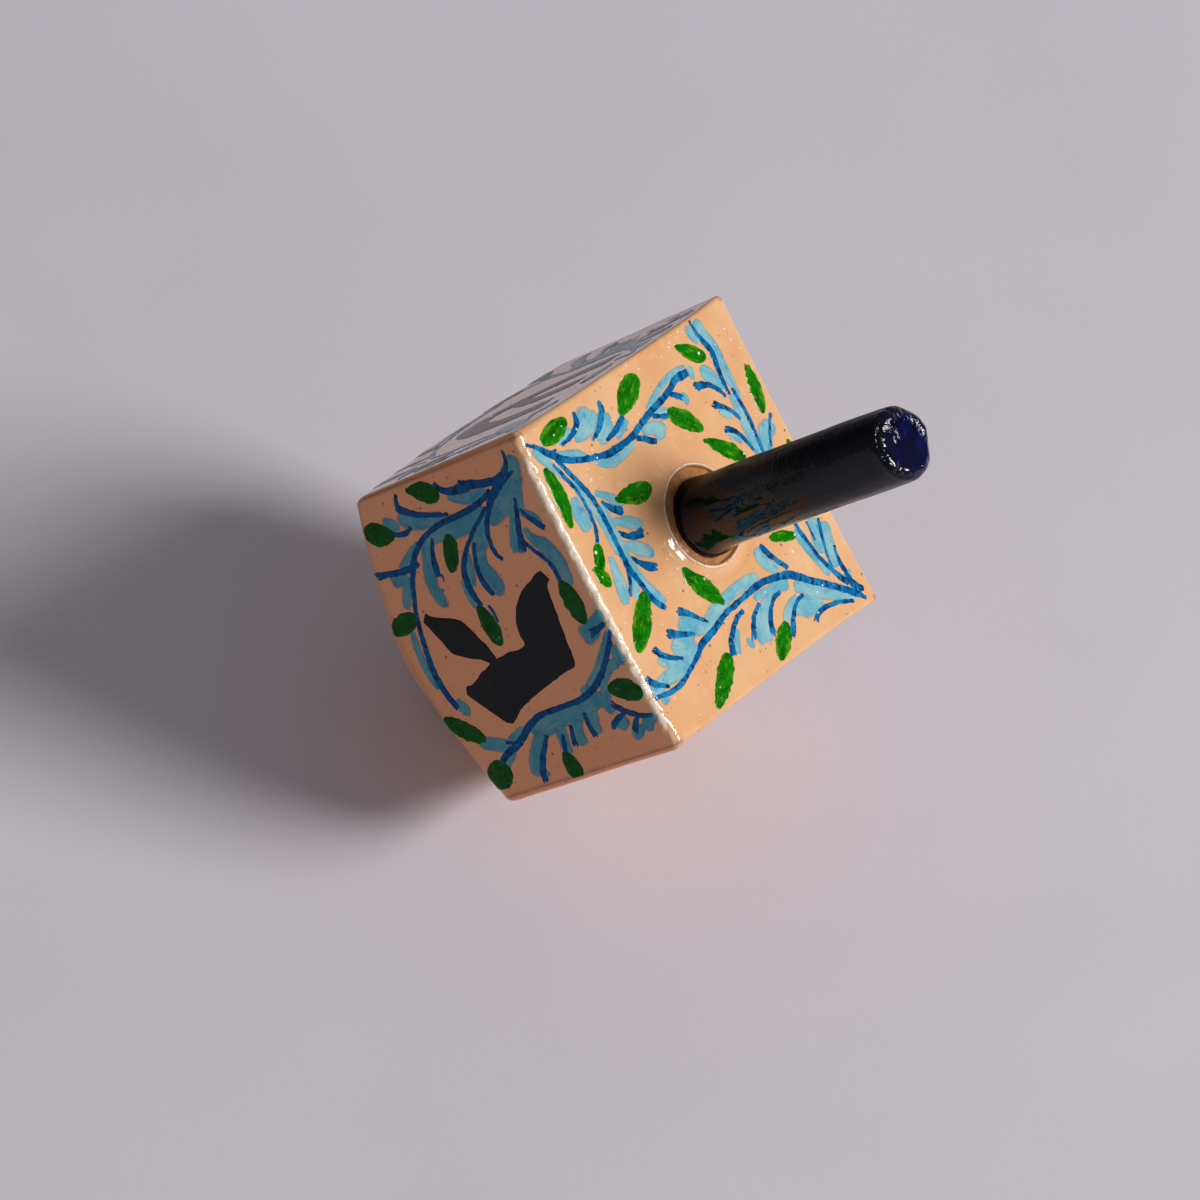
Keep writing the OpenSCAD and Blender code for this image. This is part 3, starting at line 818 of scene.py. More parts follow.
topStems = [
    [(-11.1, 6.9, 0.85), (-11.15, 5.8, 0.9), (-11.2, 5.0, 0.75), (-10.8, 4.0, 0.75),
     (-10.5, 3.0, 0.75), (-10.3, 1.8, 0.7), (-10.1, 0.5, 0.75), (-9.85, -0.6, 0.75),
     (-9.55, -1.8, 0.75), (-9.2, -3.1, 0.75), (-9.1, -4.3, 0.7), (-9.1, -5.5, 0.8),
     (-9.15, -6.8, 0.75), (-9.45, -8.0, 0.65), (-9.9, -9.5, 0.65), (-10.4, -10.8, 0.7),
     (-11.1, -12.0, 0.8), (-12.1, -13.1, 0.8), (-13.0, -14.0, 0.6), (-13.8, -15.1, 0.3)],
    [(-10.45, 3.3, 0.5), (-10.0, 4.1, 0.7), (-9.4, 4.8, 0.75)],
    [(-9.75, 0.2, 0.5), (-9.3, 1.1, 0.55), (-8.9, 2.1, 0.55)],
    [(-9.0, -2.9, 0.5), (-8.45, -1.9, 0.65), (-7.95, -1.2, 0.7), (-7.6, -0.5, 0.6)],
    [(-10.15, -6.3, 0.3), (-10.3, -5.2, 0.6), (-10.6, -4.1, 0.7), (-11.2, -2.8, 0.6)],
    [(-10.8, -7.8, 0.3), (-11.2, -6.7, 0.55), (-11.8, -5.7, 0.75), (-12.6, -4.95, 0.8),
     (-13.5, -4.7, 0.5)],
    [(-12.0, -11.4, 0.35), (-12.1, -10.3, 0.5), (-12.4, -9.1, 0.6), (-12.9, -8.3, 0.8),
     (-13.9, -8.1, 0.5)],
    [(-11.95, -11.9, 0.3), (-12.0, -12.9, 0.45)],
    [(-14.9, 9.9, 0.35), (-13.6, 9.95, 0.5), (-12.4, 10.35, 0.7), (-11.3, 10.65, 0.8),
     (-10.0, 10.4, 0.7), (-8.5, 10.2, 0.6), (-7.3, 10.2, 0.4)],
    [(-7.9, 10.8, 0.45), (-6.5, 10.9, 0.55), (-5.0, 11.0, 0.6), (-3.4, 10.85, 0.6),
     (-1.6, 10.6, 0.6), (0.6, 10.2, 0.6), (3.0, 9.9, 0.55), (5.8, 10.05, 0.6), (7.3, 10.4, 0.6),
     (8.8, 10.7, 0.6), (10.2, 11.35, 0.6), (11.5, 12.0, 0.7), (12.6, 12.8, 0.7)],
    [(-7.3, 9.7, 0.35), (-8.3, 9.2, 0.5), (-9.1, 8.4, 0.6), (-9.5, 7.4, 0.9), (-9.6, 6.7, 1.1)],
    [(-4.9, 10.05, 0.4), (-6.0, 9.5, 0.55), (-6.9, 8.6, 0.6), (-7.5, 7.7, 1.0)],
    [(-2.0, 9.7, 0.45), (-3.3, 9.3, 0.5), (-4.4, 8.7, 0.6), (-5.2, 7.5, 0.8)],
    [(-4.0, 13.9, 0.5), (-3.5, 13.25, 0.45), (-2.5, 12.45, 0.4), (-1.4, 11.8, 0.4)],
    [(14.5, 13.9, 0.4), (13.5, 12.8, 0.75), (12.3, 11.3, 0.75), (11.2, 9.8, 0.8), (10.2, 8.4, 0.8),
     (9.3, 7.3, 0.9), (8.6, 6.2, 0.95), (8.3, 5.2, 0.8), (8.0, 4.0, 0.75), (7.8, 2.8, 0.7),
     (7.8, 1.5, 0.7), (7.9, 0.0, 0.6), (8.0, -1.5, 0.65), (8.1, -3.0, 0.6), (8.5, -4.5, 0.75),
     (8.8, -6.0, 0.8), (9.0, -7.2, 0.8), (9.6, -8.4, 0.6), (10.2, -10.0, 0.5), (10.7, -11.5, 0.6),
     (10.8, -13.0, 0.6), (10.55, -14.5, 0.5), (10.4, -15.6, 0.35)],
    [(13.6, 14.2, 0.5), (13.3, 13.5, 0.9), (12.3, 12.95, 0.9), (11.0, 12.9, 0.65), (9.8, 12.9, 0.5),
     (8.8, 13.25, 0.4)],
    [(6.0, 13.05, 0.5), (7.5, 12.4, 0.5), (9.0, 11.9, 0.4), (10.6, 11.6, 0.45)],
    [(5.6, 11.4, 0.3), (6.6, 11.35, 0.3), (7.7, 11.3, 0.3)],
    [(14.05, 12.3, 0.4), (13.5, 11.0, 0.5), (13.1, 9.6, 0.5), (12.9, 8.2, 0.6), (13.1, 7.2, 0.6),
     (13.5, 6.6, 0.7)],
    [(10.8, 6.9, 0.4), (11.0, 5.6, 0.5), (11.8, 4.5, 0.6), (12.7, 3.7, 0.8), (13.3, 3.2, 0.7)],
    [(4.9, 4.7, 0.6), (5.9, 5.15, 0.75), (7.0, 5.8, 0.6), (8.2, 6.7, 0.6)],
    [(9.4, 4.5, 0.45), (9.5, 3.4, 0.5), (10.1, 2.4, 0.55), (11.0, 1.6, 0.75), (12.2, 1.1, 0.8)],
    [(9.1, 1.5, 0.5), (9.5, 0.5, 0.5), (10.0, -0.2, 0.6), (10.8, -0.85, 0.7), (11.5, -1.3, 0.8)],
    [(8.8, -0.7, 0.5), (9.0, -1.9, 0.6), (9.6, -3.0, 0.6), (10.5, -4.0, 0.8), (11.6, -4.5, 0.9)],
    [(7.9, -5.2, 0.25), (7.0, -6.2, 0.5), (6.1, -7.1, 0.7), (5.4, -8.1, 0.9)],
    [(7.95, -7.3, 0.3), (7.5, -8.5, 0.5), (7.0, -9.5, 0.8), (6.5, -10.5, 1.0)],
    [(9.1, -10.0, 0.3), (8.5, -11.2, 0.5), (7.7, -12.2, 0.7), (6.8, -12.8, 0.9)],
    [(10.35, -13.0, 0.35), (9.8, -14.0, 0.6), (9.2, -14.8, 0.8), (8.4, -15.3, 0.8)],
    [(-11.4, -12.7, 0.5), (-10.2, -12.15, 0.6), (-8.8, -11.6, 0.65), (-7.5, -11.1, 0.7),
     (-6.0, -10.8, 0.7), (-4.0, -10.8, 0.75), (-2.0, -10.9, 0.75), (0.0, -10.9, 0.8),
     (1.5, -10.5, 0.7), (3.0, -10.2, 0.7), (4.1, -9.6, 0.7), (4.7, -9.0, 0.6)],
    [(-11.2, -13.3, 0.35), (-9.8, -12.75, 0.6), (-8.3, -12.2, 0.5), (-6.7, -12.0, 0.5),
     (-5.0, -12.1, 0.5), (-3.9, -12.5, 0.5), (-3.2, -13.0, 0.4)],
    [(-0.4, -10.9, 0.6), (0.9, -11.5, 0.5), (2.1, -12.3, 0.5)],
    [(-6.2, -10.2, 0.4), (-5.4, -9.6, 0.65), (-4.7, -8.9, 0.85), (-4.3, -8.1, 1.0)],
    [(-3.2, -10.0, 0.45), (-2.5, -9.4, 0.6), (-2.05, -8.5, 0.8), (-1.9, -7.2, 1.0)],
    [(-0.8, -10.1, 0.3), (0.0, -9.5, 0.6), (0.8, -8.7, 0.95), (1.3, -7.7, 0.8)],
]

# Leaves: root, tip, width, bend of the middle line, where along it the leaf is widest
topLeaves = [
    ((-11.2, -3.3), (-13.4, 1.0), 2.3, 0.15, 0.58),
    ((-9.3, 2.0), (-6.1, 5.3), 1.9, 0.1, 0.45),
    ((-13.7, 6.7), (-11.2, 9.8), 1.6, -0.1, 0.6),
    ((-8.8, 13.8), (-4.2, 12.9), 1.6, 0.15, 0.5),
    ((-5.5, 4.5), (-1.9, 8.4), 1.6, 0.05, 0.6),
    ((-13.2, -13.4), (-13.7, -9.2), 1.9, -0.15, 0.5),
    ((-11.3, -14.35), (-5.6, -14.8), 1.7, 0.35, 0.5),
    ((-5.6, -8.7), (-4.7, -3.7), 1.9, -0.15, 0.6),
    ((-3.5, -12.9), (-1.1, -14.2), 1.35, 0.1, 0.5),
    ((-1.9, -14.6), (0.4, -13.7), 1.4, 0.0, 0.55),
    ((2.3, -10.4), (6.4, -14.7), 2.2, 0.1, 0.5),
    ((7.4, -2.4), (2.6, -5.2), 2.1, 0.1, 0.55),
    ((11.0, -4.8), (14.4, -9.3), 1.95, 0.1, 0.4),
    ((11.8, 3.4), (14.3, 0.3), 1.85, 0.05, 0.5),
    ((6.3, 9.6), (5.0, 6.1), 1.1, -0.1, 0.5),
    ((-1.3, 14.0), (1.9, 14.3), 1.1, 0.1, 0.5),
    ((1.5, 6.2), (3.4, 8.9), 1.5, 0.1, 0.5),
]

frontWashes = [
    [(-13.6, -2.1, 0.6), (-12.6, -2.5, 1.2), (-11.5, -3.4, 1.7), (-10.5, -4.6, 2.0),
     (-9.7, -6.0, 1.7), (-9.1, -7.4, 1.2), (-8.6, -8.4, 0.8)],
    [(-7.3, -4.8, 0.4), (-6.2, -4.5, 0.7), (-5.1, -3.6, 1.2), (-3.8, -3.05, 1.2), (-2.4, -2.9, 0.9),
     (-1.0, -3.0, 0.5)],
    [(-10.4, -3.1, 0.4), (-9.6, -3.7, 0.6), (-8.6, -4.1, 0.6), (-7.8, -3.2, 0.7),
     (-6.9, -2.7, 0.7)],
    [(-9.2, -4.9, 0.4), (-7.6, -5.7, 0.8), (-6.2, -6.4, 1.0), (-5.1, -6.8, 1.2)],
    [(-9.8, -7.8, 0.5), (-8.9, -9.0, 1.2), (-7.8, -10.1, 1.3), (-6.6, -10.9, 1.1),
     (-5.4, -11.3, 1.0), (-4.2, -11.0, 1.3), (-3.2, -11.1, 1.3), (-2.6, -11.7, 0.6)],
    [(-7.0, -12.1, 0.4), (-5.8, -12.9, 0.8), (-4.6, -13.3, 0.7), (-3.8, -13.3, 0.3)],
    [(-5.0, -14.3, 0.3), (-3.6, -14.5, 0.5), (-2.0, -14.5, 0.4)],
    [(-9.8, -7.6, 0.5), (-9.6, -9.4, 1.1), (-9.4, -11.4, 1.5), (-9.4, -13.4, 1.5),
     (-9.2, -15.2, 1.0), (-8.6, -16.4, 0.9), (-7.4, -17.0, 0.9), (-6.0, -17.7, 1.0),
     (-4.8, -17.9, 1.0), (-3.9, -17.5, 1.3), (-3.9, -16.9, 0.9)],
    [(-11.4, -6.6, 0.3), (-11.3, -8.2, 0.8), (-11.4, -9.8, 0.7), (-12.0, -11.4, 0.3)],
    [(-10.8, -12.6, 0.3), (-10.8, -14.4, 0.9), (-11.0, -16.0, 1.2), (-11.6, -17.2, 1.2),
     (-12.1, -17.9, 0.6)],
    [(-11.0, -18.0, 0.4), (-11.6, -19.1, 0.9), (-12.1, -19.9, 0.7)],
    [(-9.3, -16.9, 0.3), (-8.7, -18.4, 0.4), (-7.9, -19.8, 0.5), (-7.7, -20.6, 0.3)],
    [(-6.8, -19.9, 0.6), (-6.8, -21.2, 0.9), (-6.7, -22.4, 0.9)],
    [(-6.6, -20.3, 0.5), (-5.2, -21.4, 0.7), (-4.0, -22.2, 0.5)],
    [(-2.2, -22.8, 0.4), (-0.4, -23.3, 0.6), (1.6, -23.5, 0.6), (3.6, -23.3, 0.4)],
    [(4.8, -22.1, 0.5), (5.9, -21.6, 0.9), (6.6, -21.9, 0.5)],
    [(1.7, -1.2, 0.5), (2.4, -2.2, 0.9), (3.2, -3.6, 1.3), (3.4, -5.0, 1.5)],
    [(3.6, -1.7, 0.4), (5.0, -3.0, 0.6), (6.3, -4.7, 0.5), (7.4, -6.6, 0.4), (7.9, -8.0, 0.3)],
    [(4.8, -1.8, 0.6), (6.0, -2.0, 0.9), (7.0, -2.1, 1.0)],
    [(6.6, -2.2, 0.8), (6.6, -3.4, 0.7), (7.6, -4.8, 0.6), (8.6, -5.3, 0.8), (9.6, -5.8, 0.9),
     (10.6, -5.3, 0.6)],
    [(8.7, -5.6, 0.9), (9.1, -7.0, 1.0), (9.4, -9.0, 1.4), (9.4, -11.0, 1.3), (9.5, -13.0, 1.4),
     (9.8, -14.6, 1.3), (10.2, -15.6, 0.6)],
    [(9.6, -7.5, 0.8), (10.8, -8.2, 0.8), (12.0, -8.3, 0.9)],
    [(9.8, -9.8, 0.9), (11.2, -10.5, 0.9), (12.5, -10.4, 1.1)],
    [(9.8, -12.0, 0.8), (11.4, -12.5, 0.9), (12.8, -12.6, 0.8)],
    [(10.0, -14.3, 1.0), (11.2, -15.7, 1.0), (12.6, -16.9, 1.1), (13.8, -17.5, 0.8)],
    [(13.4, -16.3, 0.4), (14.1, -16.1, 0.5)],
    [(12.0, -1.1, 0.4), (12.2, -2.4, 0.9), (13.2, -2.6, 0.8)],
    [(12.1, -3.1, 0.5), (12.9, -4.0, 0.7), (12.7, -4.9, 0.6)],
    [(11.4, -4.2, 0.5), (11.7, -5.4, 0.8), (11.9, -6.0, 0.4)],
    [(10.2, -18.4, 0.7), (9.9, -19.8, 1.0), (9.4, -21.2, 0.9), (9.0, -22.0, 0.7)],
    [(9.1, -16.1, 0.4), (9.6, -17.3, 0.6), (9.9, -18.6, 0.5)],
    [(10.9, -18.4, 0.3), (11.5, -19.5, 0.5), (12.0, -20.4, 0.3)],
]

frontStems = [
    [(-14.2, -2.8, 0.35), (-13.1, -3.0, 0.5), (-12.3, -3.7, 0.7), (-11.9, -5.0, 0.85),
     (-12.0, -6.6, 0.85), (-12.3, -8.1, 1.0), (-12.3, -9.4, 1.1), (-12.4, -10.6, 0.85),
     (-12.8, -11.5, 0.7), (-13.7, -12.0, 0.5)],
    [(-13.0, -8.7, 1.2), (-12.4, -8.9, 1.4)],
    [(-12.1, -2.6, 0.25), (-11.7, -4.2, 0.7), (-11.0, -5.8, 0.95), (-10.3, -6.9, 0.8),
     (-9.3, -7.9, 0.65), (-8.2, -8.8, 0.6), (-7.0, -9.2, 0.6), (-5.9, -9.2, 0.6),
     (-5.2, -8.7, 0.5)],
    [(-11.4, -6.2, 0.3), (-10.8, -7.4, 0.6), (-10.4, -9.2, 0.7), (-10.2, -11.2, 0.7),
     (-10.1, -13.2, 0.65), (-9.8, -15.0, 0.6), (-9.2, -16.7, 0.65), (-8.4, -18.0, 0.65),
     (-7.4, -19.0, 0.8), (-6.2, -19.9, 0.65), (-4.8, -20.7, 0.6), (-3.4, -21.4, 0.6),
     (-1.7, -22.0, 0.65), (0.2, -22.5, 0.75), (2.2, -22.85, 0.8), (4.2, -22.7, 0.85),
     (5.8, -22.2, 0.8)],
    [(-10.6, -12.0, 0.35), (-11.0, -13.8, 0.55), (-11.6, -15.6, 0.65), (-12.3, -16.9, 0.9),
     (-12.9, -17.4, 0.9)],
    [(-12.6, -17.3, 0.7), (-13.4, -17.0, 0.5), (-13.9, -16.6, 0.3)],
    [(-10.1, -7.6, 0.3), (-9.3, -8.9, 0.5), (-8.6, -10.2, 0.5), (-7.6, -11.6, 0.5),
     (-6.6, -12.8, 0.6), (-5.5, -13.6, 0.75), (-4.3, -14.0, 0.9), (-3.1, -13.95, 0.8),
     (-2.0, -13.7, 0.6)],
    [(-7.6, -10.8, 0.4), (-6.8, -11.4, 0.55), (-5.6, -12.0, 0.6), (-4.2, -12.2, 0.7),
     (-3.2, -12.0, 0.8), (-2.6, -11.7, 0.6)],
    [(-2.1, -13.0, 0.3), (-1.2, -12.8, 0.4), (-0.2, -12.9, 0.3)],
    [(-9.3, -15.1, 0.35), (-8.0, -16.0, 0.55), (-6.8, -16.5, 0.85), (-5.7, -16.7, 0.7)],
    [(-6.0, -16.2, 0.4), (-5.4, -16.4, 0.3)],
    [(-10.8, -16.8, 0.4), (-10.4, -17.7, 0.55), (-10.5, -18.8, 0.6), (-10.9, -19.7, 0.5)],
    [(-7.5, -18.0, 0.45), (-7.35, -19.4, 0.75), (-7.4, -21.0, 0.7), (-7.6, -22.4, 0.7),
     (-7.7, -23.7, 0.95)],
    [(-10.0, -4.0, 0.4), (-8.8, -4.6, 0.55), (-7.2, -5.4, 0.75), (-6.0, -5.9, 0.95),
     (-5.3, -6.2, 0.9)],
    [(-9.0, -4.2, 0.3), (-8.0, -3.75, 0.6), (-7.2, -3.1, 0.8), (-6.5, -2.6, 0.7)],
    [(-6.3, -5.6, 0.35), (-5.3, -5.1, 0.5), (-4.2, -4.35, 0.5), (-3.2, -3.9, 0.6),
     (-1.4, -3.9, 0.6)],
    [(2.9, -1.4, 0.4), (3.1, -2.4, 0.7), (3.4, -3.7, 0.95)],
    [(3.5, -1.3, 0.4), (4.6, -2.1, 0.6), (5.8, -3.3, 0.65), (6.9, -4.6, 0.7), (7.7, -5.9, 0.75),
     (8.2, -7.2, 0.75), (8.5, -8.8, 0.65), (8.55, -11.0, 0.6), (8.6, -13.4, 0.65),
     (9.1, -15.2, 0.8), (9.9, -16.7, 0.8), (10.5, -18.0, 0.8), (10.9, -19.4, 0.8),
     (11.5, -20.7, 0.6)],
    [(10.2, -17.6, 0.3), (10.1, -18.4, 0.45), (9.8, -19.1, 0.3)],
    [(9.5, -8.7, 0.5), (10.7, -8.9, 0.6), (12.0, -8.75, 0.85)],
    [(10.2, -10.8, 0.4), (11.2, -11.25, 0.6), (12.2, -11.5, 0.8)],
    [(10.7, -12.2, 0.45), (11.8, -12.7, 0.65), (12.7, -13.1, 0.6)],
    [(10.4, -13.9, 0.4), (11.3, -14.9, 0.6), (12.4, -15.9, 0.75), (13.5, -16.6, 0.85),
     (14.4, -16.8, 0.8)],
    [(11.75, -1.4, 0.35), (11.5, -2.7, 0.55), (10.9, -3.9, 0.65), (10.2, -4.8, 0.7),
     (9.6, -5.3, 0.8)],
    [(11.4, -3.1, 0.35), (12.0, -3.8, 0.65), (12.8, -4.4, 0.9)],
    [(10.8, -4.3, 0.4), (11.1, -5.4, 0.6), (11.7, -6.6, 0.8)],
]

frontLeaves = [
    ((-2.0, -3.9), (2.5, -3.7), 2.15, 0.1, 0.5),
    ((8.4, -5.0), (9.8, -1.3), 2.2, 0.25, 0.55),
    ((-13.9, -15.5), (-12.4, -11.9), 2.1, 0.05, 0.62),
    ((-9.1, -13.1), (-5.7, -15.2), 1.75, 0.1, 0.45),
    ((-2.4, -14.1), (1.8, -13.9), 1.95, 0.05, 0.55),
    ((-10.6, -19.0), (-11.6, -22.6), 2.3, 0.0, 0.58),
    ((-3.3, -21.4), (-2.5, -25.2), 1.95, -0.05, 0.5),
    ((9.2, -20.9), (6.1, -24.7), 1.95, 0.05, 0.5),
    ((11.9, -19.9), (13.4, -22.9), 2.7, -0.2, 0.5),
    ((12.2, -13.2), (15.3, -12.9), 1.95, 0.05, 0.55),
]

# The four letters as plain brush marks: each is a few sheets between two edges
letterHe = [
    ([(-2.3, -4.75), (-1.9, -5.45), (-1.0, -5.75), (1.0, -6.1), (3.2, -6.5), (4.9, -6.75),
      (5.6, -7.1), (5.75, -8.2), (6.2, -10.3), (6.8, -12.8), (7.5, -15.1), (8.25, -16.5),
      (8.55, -17.1), (8.2, -17.9)],
     [(-3.3, -5.25), (-3.2, -5.9), (-2.8, -7.0), (-2.2, -8.5), (-1.1, -10.0), (0.1, -10.9),
      (1.3, -11.3), (2.25, -11.25), (2.5, -12.0), (2.45, -13.5), (2.7, -15.5), (3.3, -17.5),
      (4.05, -19.3), (4.1, -20.1), (4.9, -20.6)]),
    ([(2.65, -15.1), (1.5, -15.35), (0.0, -16.0), (-1.1, -16.5), (-1.8, -17.2), (-2.3, -18.6),
      (-2.75, -19.8), (-3.3, -20.4)],
     [(2.95, -16.0), (2.4, -16.7), (2.0, -17.6), (1.5, -18.8), (0.9, -19.75), (-0.4, -20.2),
      (-1.6, -20.7), (-2.6, -21.1)]),
]
letterGimel = [
    ([(-1.7, -4.9), (-1.0, -6.0), (0.8, -6.5), (2.3, -7.2), (3.0, -9.0), (3.2, -12.0), (3.6, -15.4),
      (5.2, -18.6)],
     [(-2.8, -5.7), (-2.4, -7.6), (-1.2, -8.9), (0.1, -9.5), (0.6, -11.0), (0.6, -13.6),
      (1.2, -17.0), (3.0, -20.2)]),
    ([(0.9, -14.0), (-0.6, -15.6), (-2.2, -17.2), (-3.8, -18.4)],
     [(1.4, -17.0), (0.2, -18.3), (-1.4, -19.8), (-3.0, -20.6)]),
]
letterNun = [
    ([(-1.2, -5.0), (-0.6, -6.1), (1.0, -6.5), (2.7, -7.2), (3.4, -9.4), (3.4, -12.6), (3.4, -16.2),
      (3.0, -19.6)],
     [(-2.3, -5.8), (-2.0, -7.6), (-0.8, -8.9), (0.5, -9.4), (0.9, -11.2), (0.8, -13.6),
      (0.8, -16.2), (0.9, -18.0)]),
    ([(2.6, -17.2), (0.4, -17.4), (-1.8, -17.2), (-3.9, -16.9)],
     [(2.9, -20.1), (0.4, -20.4), (-1.8, -20.3), (-4.2, -20.0)]),
]
letterShin = [
    ([(-6.2, -5.0), (-6.1, -8.0), (-5.4, -12.0), (-4.0, -16.2), (-2.4, -19.4)],
     [(-3.6, -5.6), (-3.8, -8.4), (-3.3, -12.0), (-2.0, -15.2), (-0.6, -17.6)]),
    ([(-1.0, -17.2), (1.0, -16.6), (2.8, -13.6), (3.4, -9.6), (3.4, -5.4)],
     [(-2.3, -19.6), (1.6, -20.2), (5.0, -16.4), (6.0, -11.0), (6.0, -4.8)]),
    ([(-1.3, -5.4), (-1.2, -8.8), (-1.5, -12.0), (-2.6, -14.6)],
     [(1.0, -5.8), (0.9, -9.4), (0.3, -12.8), (-1.6, -16.0)]),
]


def letterCover(letter, places):
    # Share of some places that fall inside the upright box round a letter, grown by 0.7 mm
    corners = np.array([point for pair in letter for edge in pair for point in edge])
    low, high = corners.min(axis=0) - 0.7, corners.max(axis=0) + 0.7
    places = np.array(places)[:, :2]
    return np.mean(np.all((places > low) & (places < high), axis=1))


def turnStrokes(strokes, mirror, shift, letter):
    # The same strokes on another face: mirrored left to right if asked, each one nudged; those
    # that would run through the letter are left out
    draw = np.random.default_rng(shift)
    moved = []
    for path in strokes:
        nudge = draw.uniform(-0.35, 0.35, 2)
        turned = [
            (float(np.clip(mirror * u + nudge[0], -13.9, 13.9)), float(min(v + nudge[1], -1.2)), w)
            for u, v, w in path
        ]
        if letterCover(letter, smoothPath(turned, 0.3)) < 0.12:
            moved.append(turned)
    return moved


def turnLeaves(leaves, mirror, shift, letter):
    draw = np.random.default_rng(shift)
    moved = []
    for root, tip, width, bend, widest in leaves:
        nudge = draw.uniform(-0.4, 0.4, 2)
        root = (float(np.clip(mirror * root[0] + nudge[0], -13.4, 13.4)), root[1] + float(nudge[1]))
        tip = (float(np.clip(mirror * tip[0] + nudge[0], -13.6, 13.6)), tip[1] + float(nudge[1]))
        if letterCover(letter, [root, tip]) == 0:
            moved.append((root, tip, width, bend * mirror, widest))
    return moved


paintHeights = dict(wash=0.018, stem=0.03, leaf=0.038, letter=0.045)


def paintFace(face, washes, stems, leaves, letter, paints):
    # One mesh for each paint on a face, in the order in which they were laid on
    wash = PaintBatch(face + "Wash", face, paints["wash"], paintHeights["wash"])
    for path in washes:
        wide = [(u, v, w * brush["washWidth"]) for u, v, w in path]
        wash.stroke(wide, 0.8, 0.8, 0.08, 0.7, 2)
    wash.build()
    stem = PaintBatch(face + "Vine", face, paints["stem"], paintHeights["stem"])
    for path in stems:
        blunt = path[-1][2] > 0.65
        stem.stroke(path, 0.6, 0.3 if blunt else 0.8, 0.34 if blunt else 0.08)
    stem.build()
    leaf = PaintBatch(face + "Leaves", face, paints["leaf"], paintHeights["leaf"])
    for root, tip, width, bend, widest in leaves:
        leaf.leaf(root, tip, width * brush["leafWidth"], bend, 0.52, widest)
    leaf.build()
    if letter:
        mark = PaintBatch(face + "Letter", face, paints["letter"], paintHeights["letter"])
        for edgeA, edgeB in letter:
            mark.between(edgeA, edgeB)
        mark.build()
    print("painted", face)


# Materials


class NodeTree:
    # Short forms for the nodes that the finishes share

    def __init__(self, name):
        self.material = bpy.data.materials.new(name)
        self.material.use_nodes = True
        self.tree = self.material.node_tree
        self.tree.nodes.clear()
        self.output = self.add("ShaderNodeOutputMaterial")
        self.shader = self.add("ShaderNodeBsdfPrincipled")
        self.link(self.shader.outputs["BSDF"], self.output.inputs["Surface"])
        self.place = self.add("ShaderNodeTexCoord").outputs["Object"]

    def add(self, kind, **settings):
        node = self.tree.nodes.new(kind)
        for key, value in settings.items():
            setattr(node, key, value)
        return node

    def link(self, source, target):
        self.tree.links.new(source, target)

    def put(self, target, value):
        if isinstance(value, bpy.types.NodeSocket):
            self.link(value, target)
        else:
            target.default_value = value

    def noise(self, size, detail=3.0, roughness=0.55, distortion=0.0, vector=None):
        # size is the width of one blotch in millimetres
        node = self.add("ShaderNodeTexNoise")
        self.link(vector or self.place, node.inputs["Vector"])
        node.inputs["Scale"].default_value = 1 / (size * mm)
        node.inputs["Detail"].default_value = detail
        node.inputs["Roughness"].default_value = roughness
        node.inputs["Distortion"].default_value = distortion
        return node.outputs["Fac"]

    def cells(self, size):
        node = self.add("ShaderNodeTexVoronoi")
        self.link(self.place, node.inputs["Vector"])
        node.inputs["Scale"].default_value = 1 / (size * mm)
        return node

    def remap(self, value, low, high, outLow=0.0, outHigh=1.0):
        node = self.add("ShaderNodeMapRange", interpolation_type="SMOOTHSTEP")
        self.put(node.inputs["Value"], value)
        node.inputs["From Min"].default_value = low
        node.inputs["From Max"].default_value = high
        node.inputs["To Min"].default_value = outLow
        node.inputs["To Max"].default_value = outHigh
        return node.outputs["Result"]

    def math(self, operation, a, b=0.0):
        node = self.add("ShaderNodeMath", operation=operation)
        self.put(node.inputs[0], a)
        self.put(node.inputs[1], b)
        return node.outputs["Value"]

    def mix(self, share, a, b, blend="MIX"):
        node = self.add("ShaderNodeMix", data_type="RGBA", blend_type=blend)
        self.put(node.inputs[0], share)
        self.put(node.inputs[6], a if isinstance(a, bpy.types.NodeSocket) else (*a, 1.0))
        self.put(node.inputs[7], b if isinstance(b, bpy.types.NodeSocket) else (*b, 1.0))
        return node.outputs[2]

    def attribute(self, name):
        return self.add("ShaderNodeAttribute", attribute_name=name).outputs["Fac"]

    def uv(self):
        return self.add("ShaderNodeUVMap", uv_map="brush").outputs["UV"]

    def stretch(self, vector, scale):
        node = self.add("ShaderNodeMapping")
        self.link(vector, node.inputs["Vector"])
        node.inputs["Scale"].default_value = scale
        return node.outputs["Vector"]

    def bump(self, height, distance, strength=1.0, under=None):
        node = self.add("ShaderNodeBump")
        node.inputs["Distance"].default_value = distance * mm
        node.inputs["Strength"].default_value = strength
        self.link(height, node.inputs["Height"])
        if under is not None:
            self.link(under, node.inputs["Normal"])
        return node.outputs["Normal"]

    def finish(self, color, roughness, normal, coat=0.0, coatRoughness=0.05, specular=0.5):
        s = self.shader.inputs
        self.put(s["Base Color"], color)
        self.put(s["Roughness"], roughness)
        self.link(normal, s["Normal"])
        s["Specular IOR Level"].default_value = specular
        s["Coat Weight"].default_value = coat
        s["Coat Roughness"].default_value = coatRoughness
        if coat > 0:
            self.link(normal, s["Coat Normal"])
        return self.material


def pitMask(n, size, share, radius):
    # Round dots in a share of the cells of a Voronoi pattern; radius is in cell widths
    cells = n.cells(size)
    split = n.add("ShaderNodeSeparateColor")
    n.link(cells.outputs["Color"], split.inputs[0])
    picked = n.math("LESS_THAN", split.outputs[0], share)
    dot = n.remap(cells.outputs["Distance"], radius, radius * 0.45)
    return n.math("MULTIPLY", picked, dot)


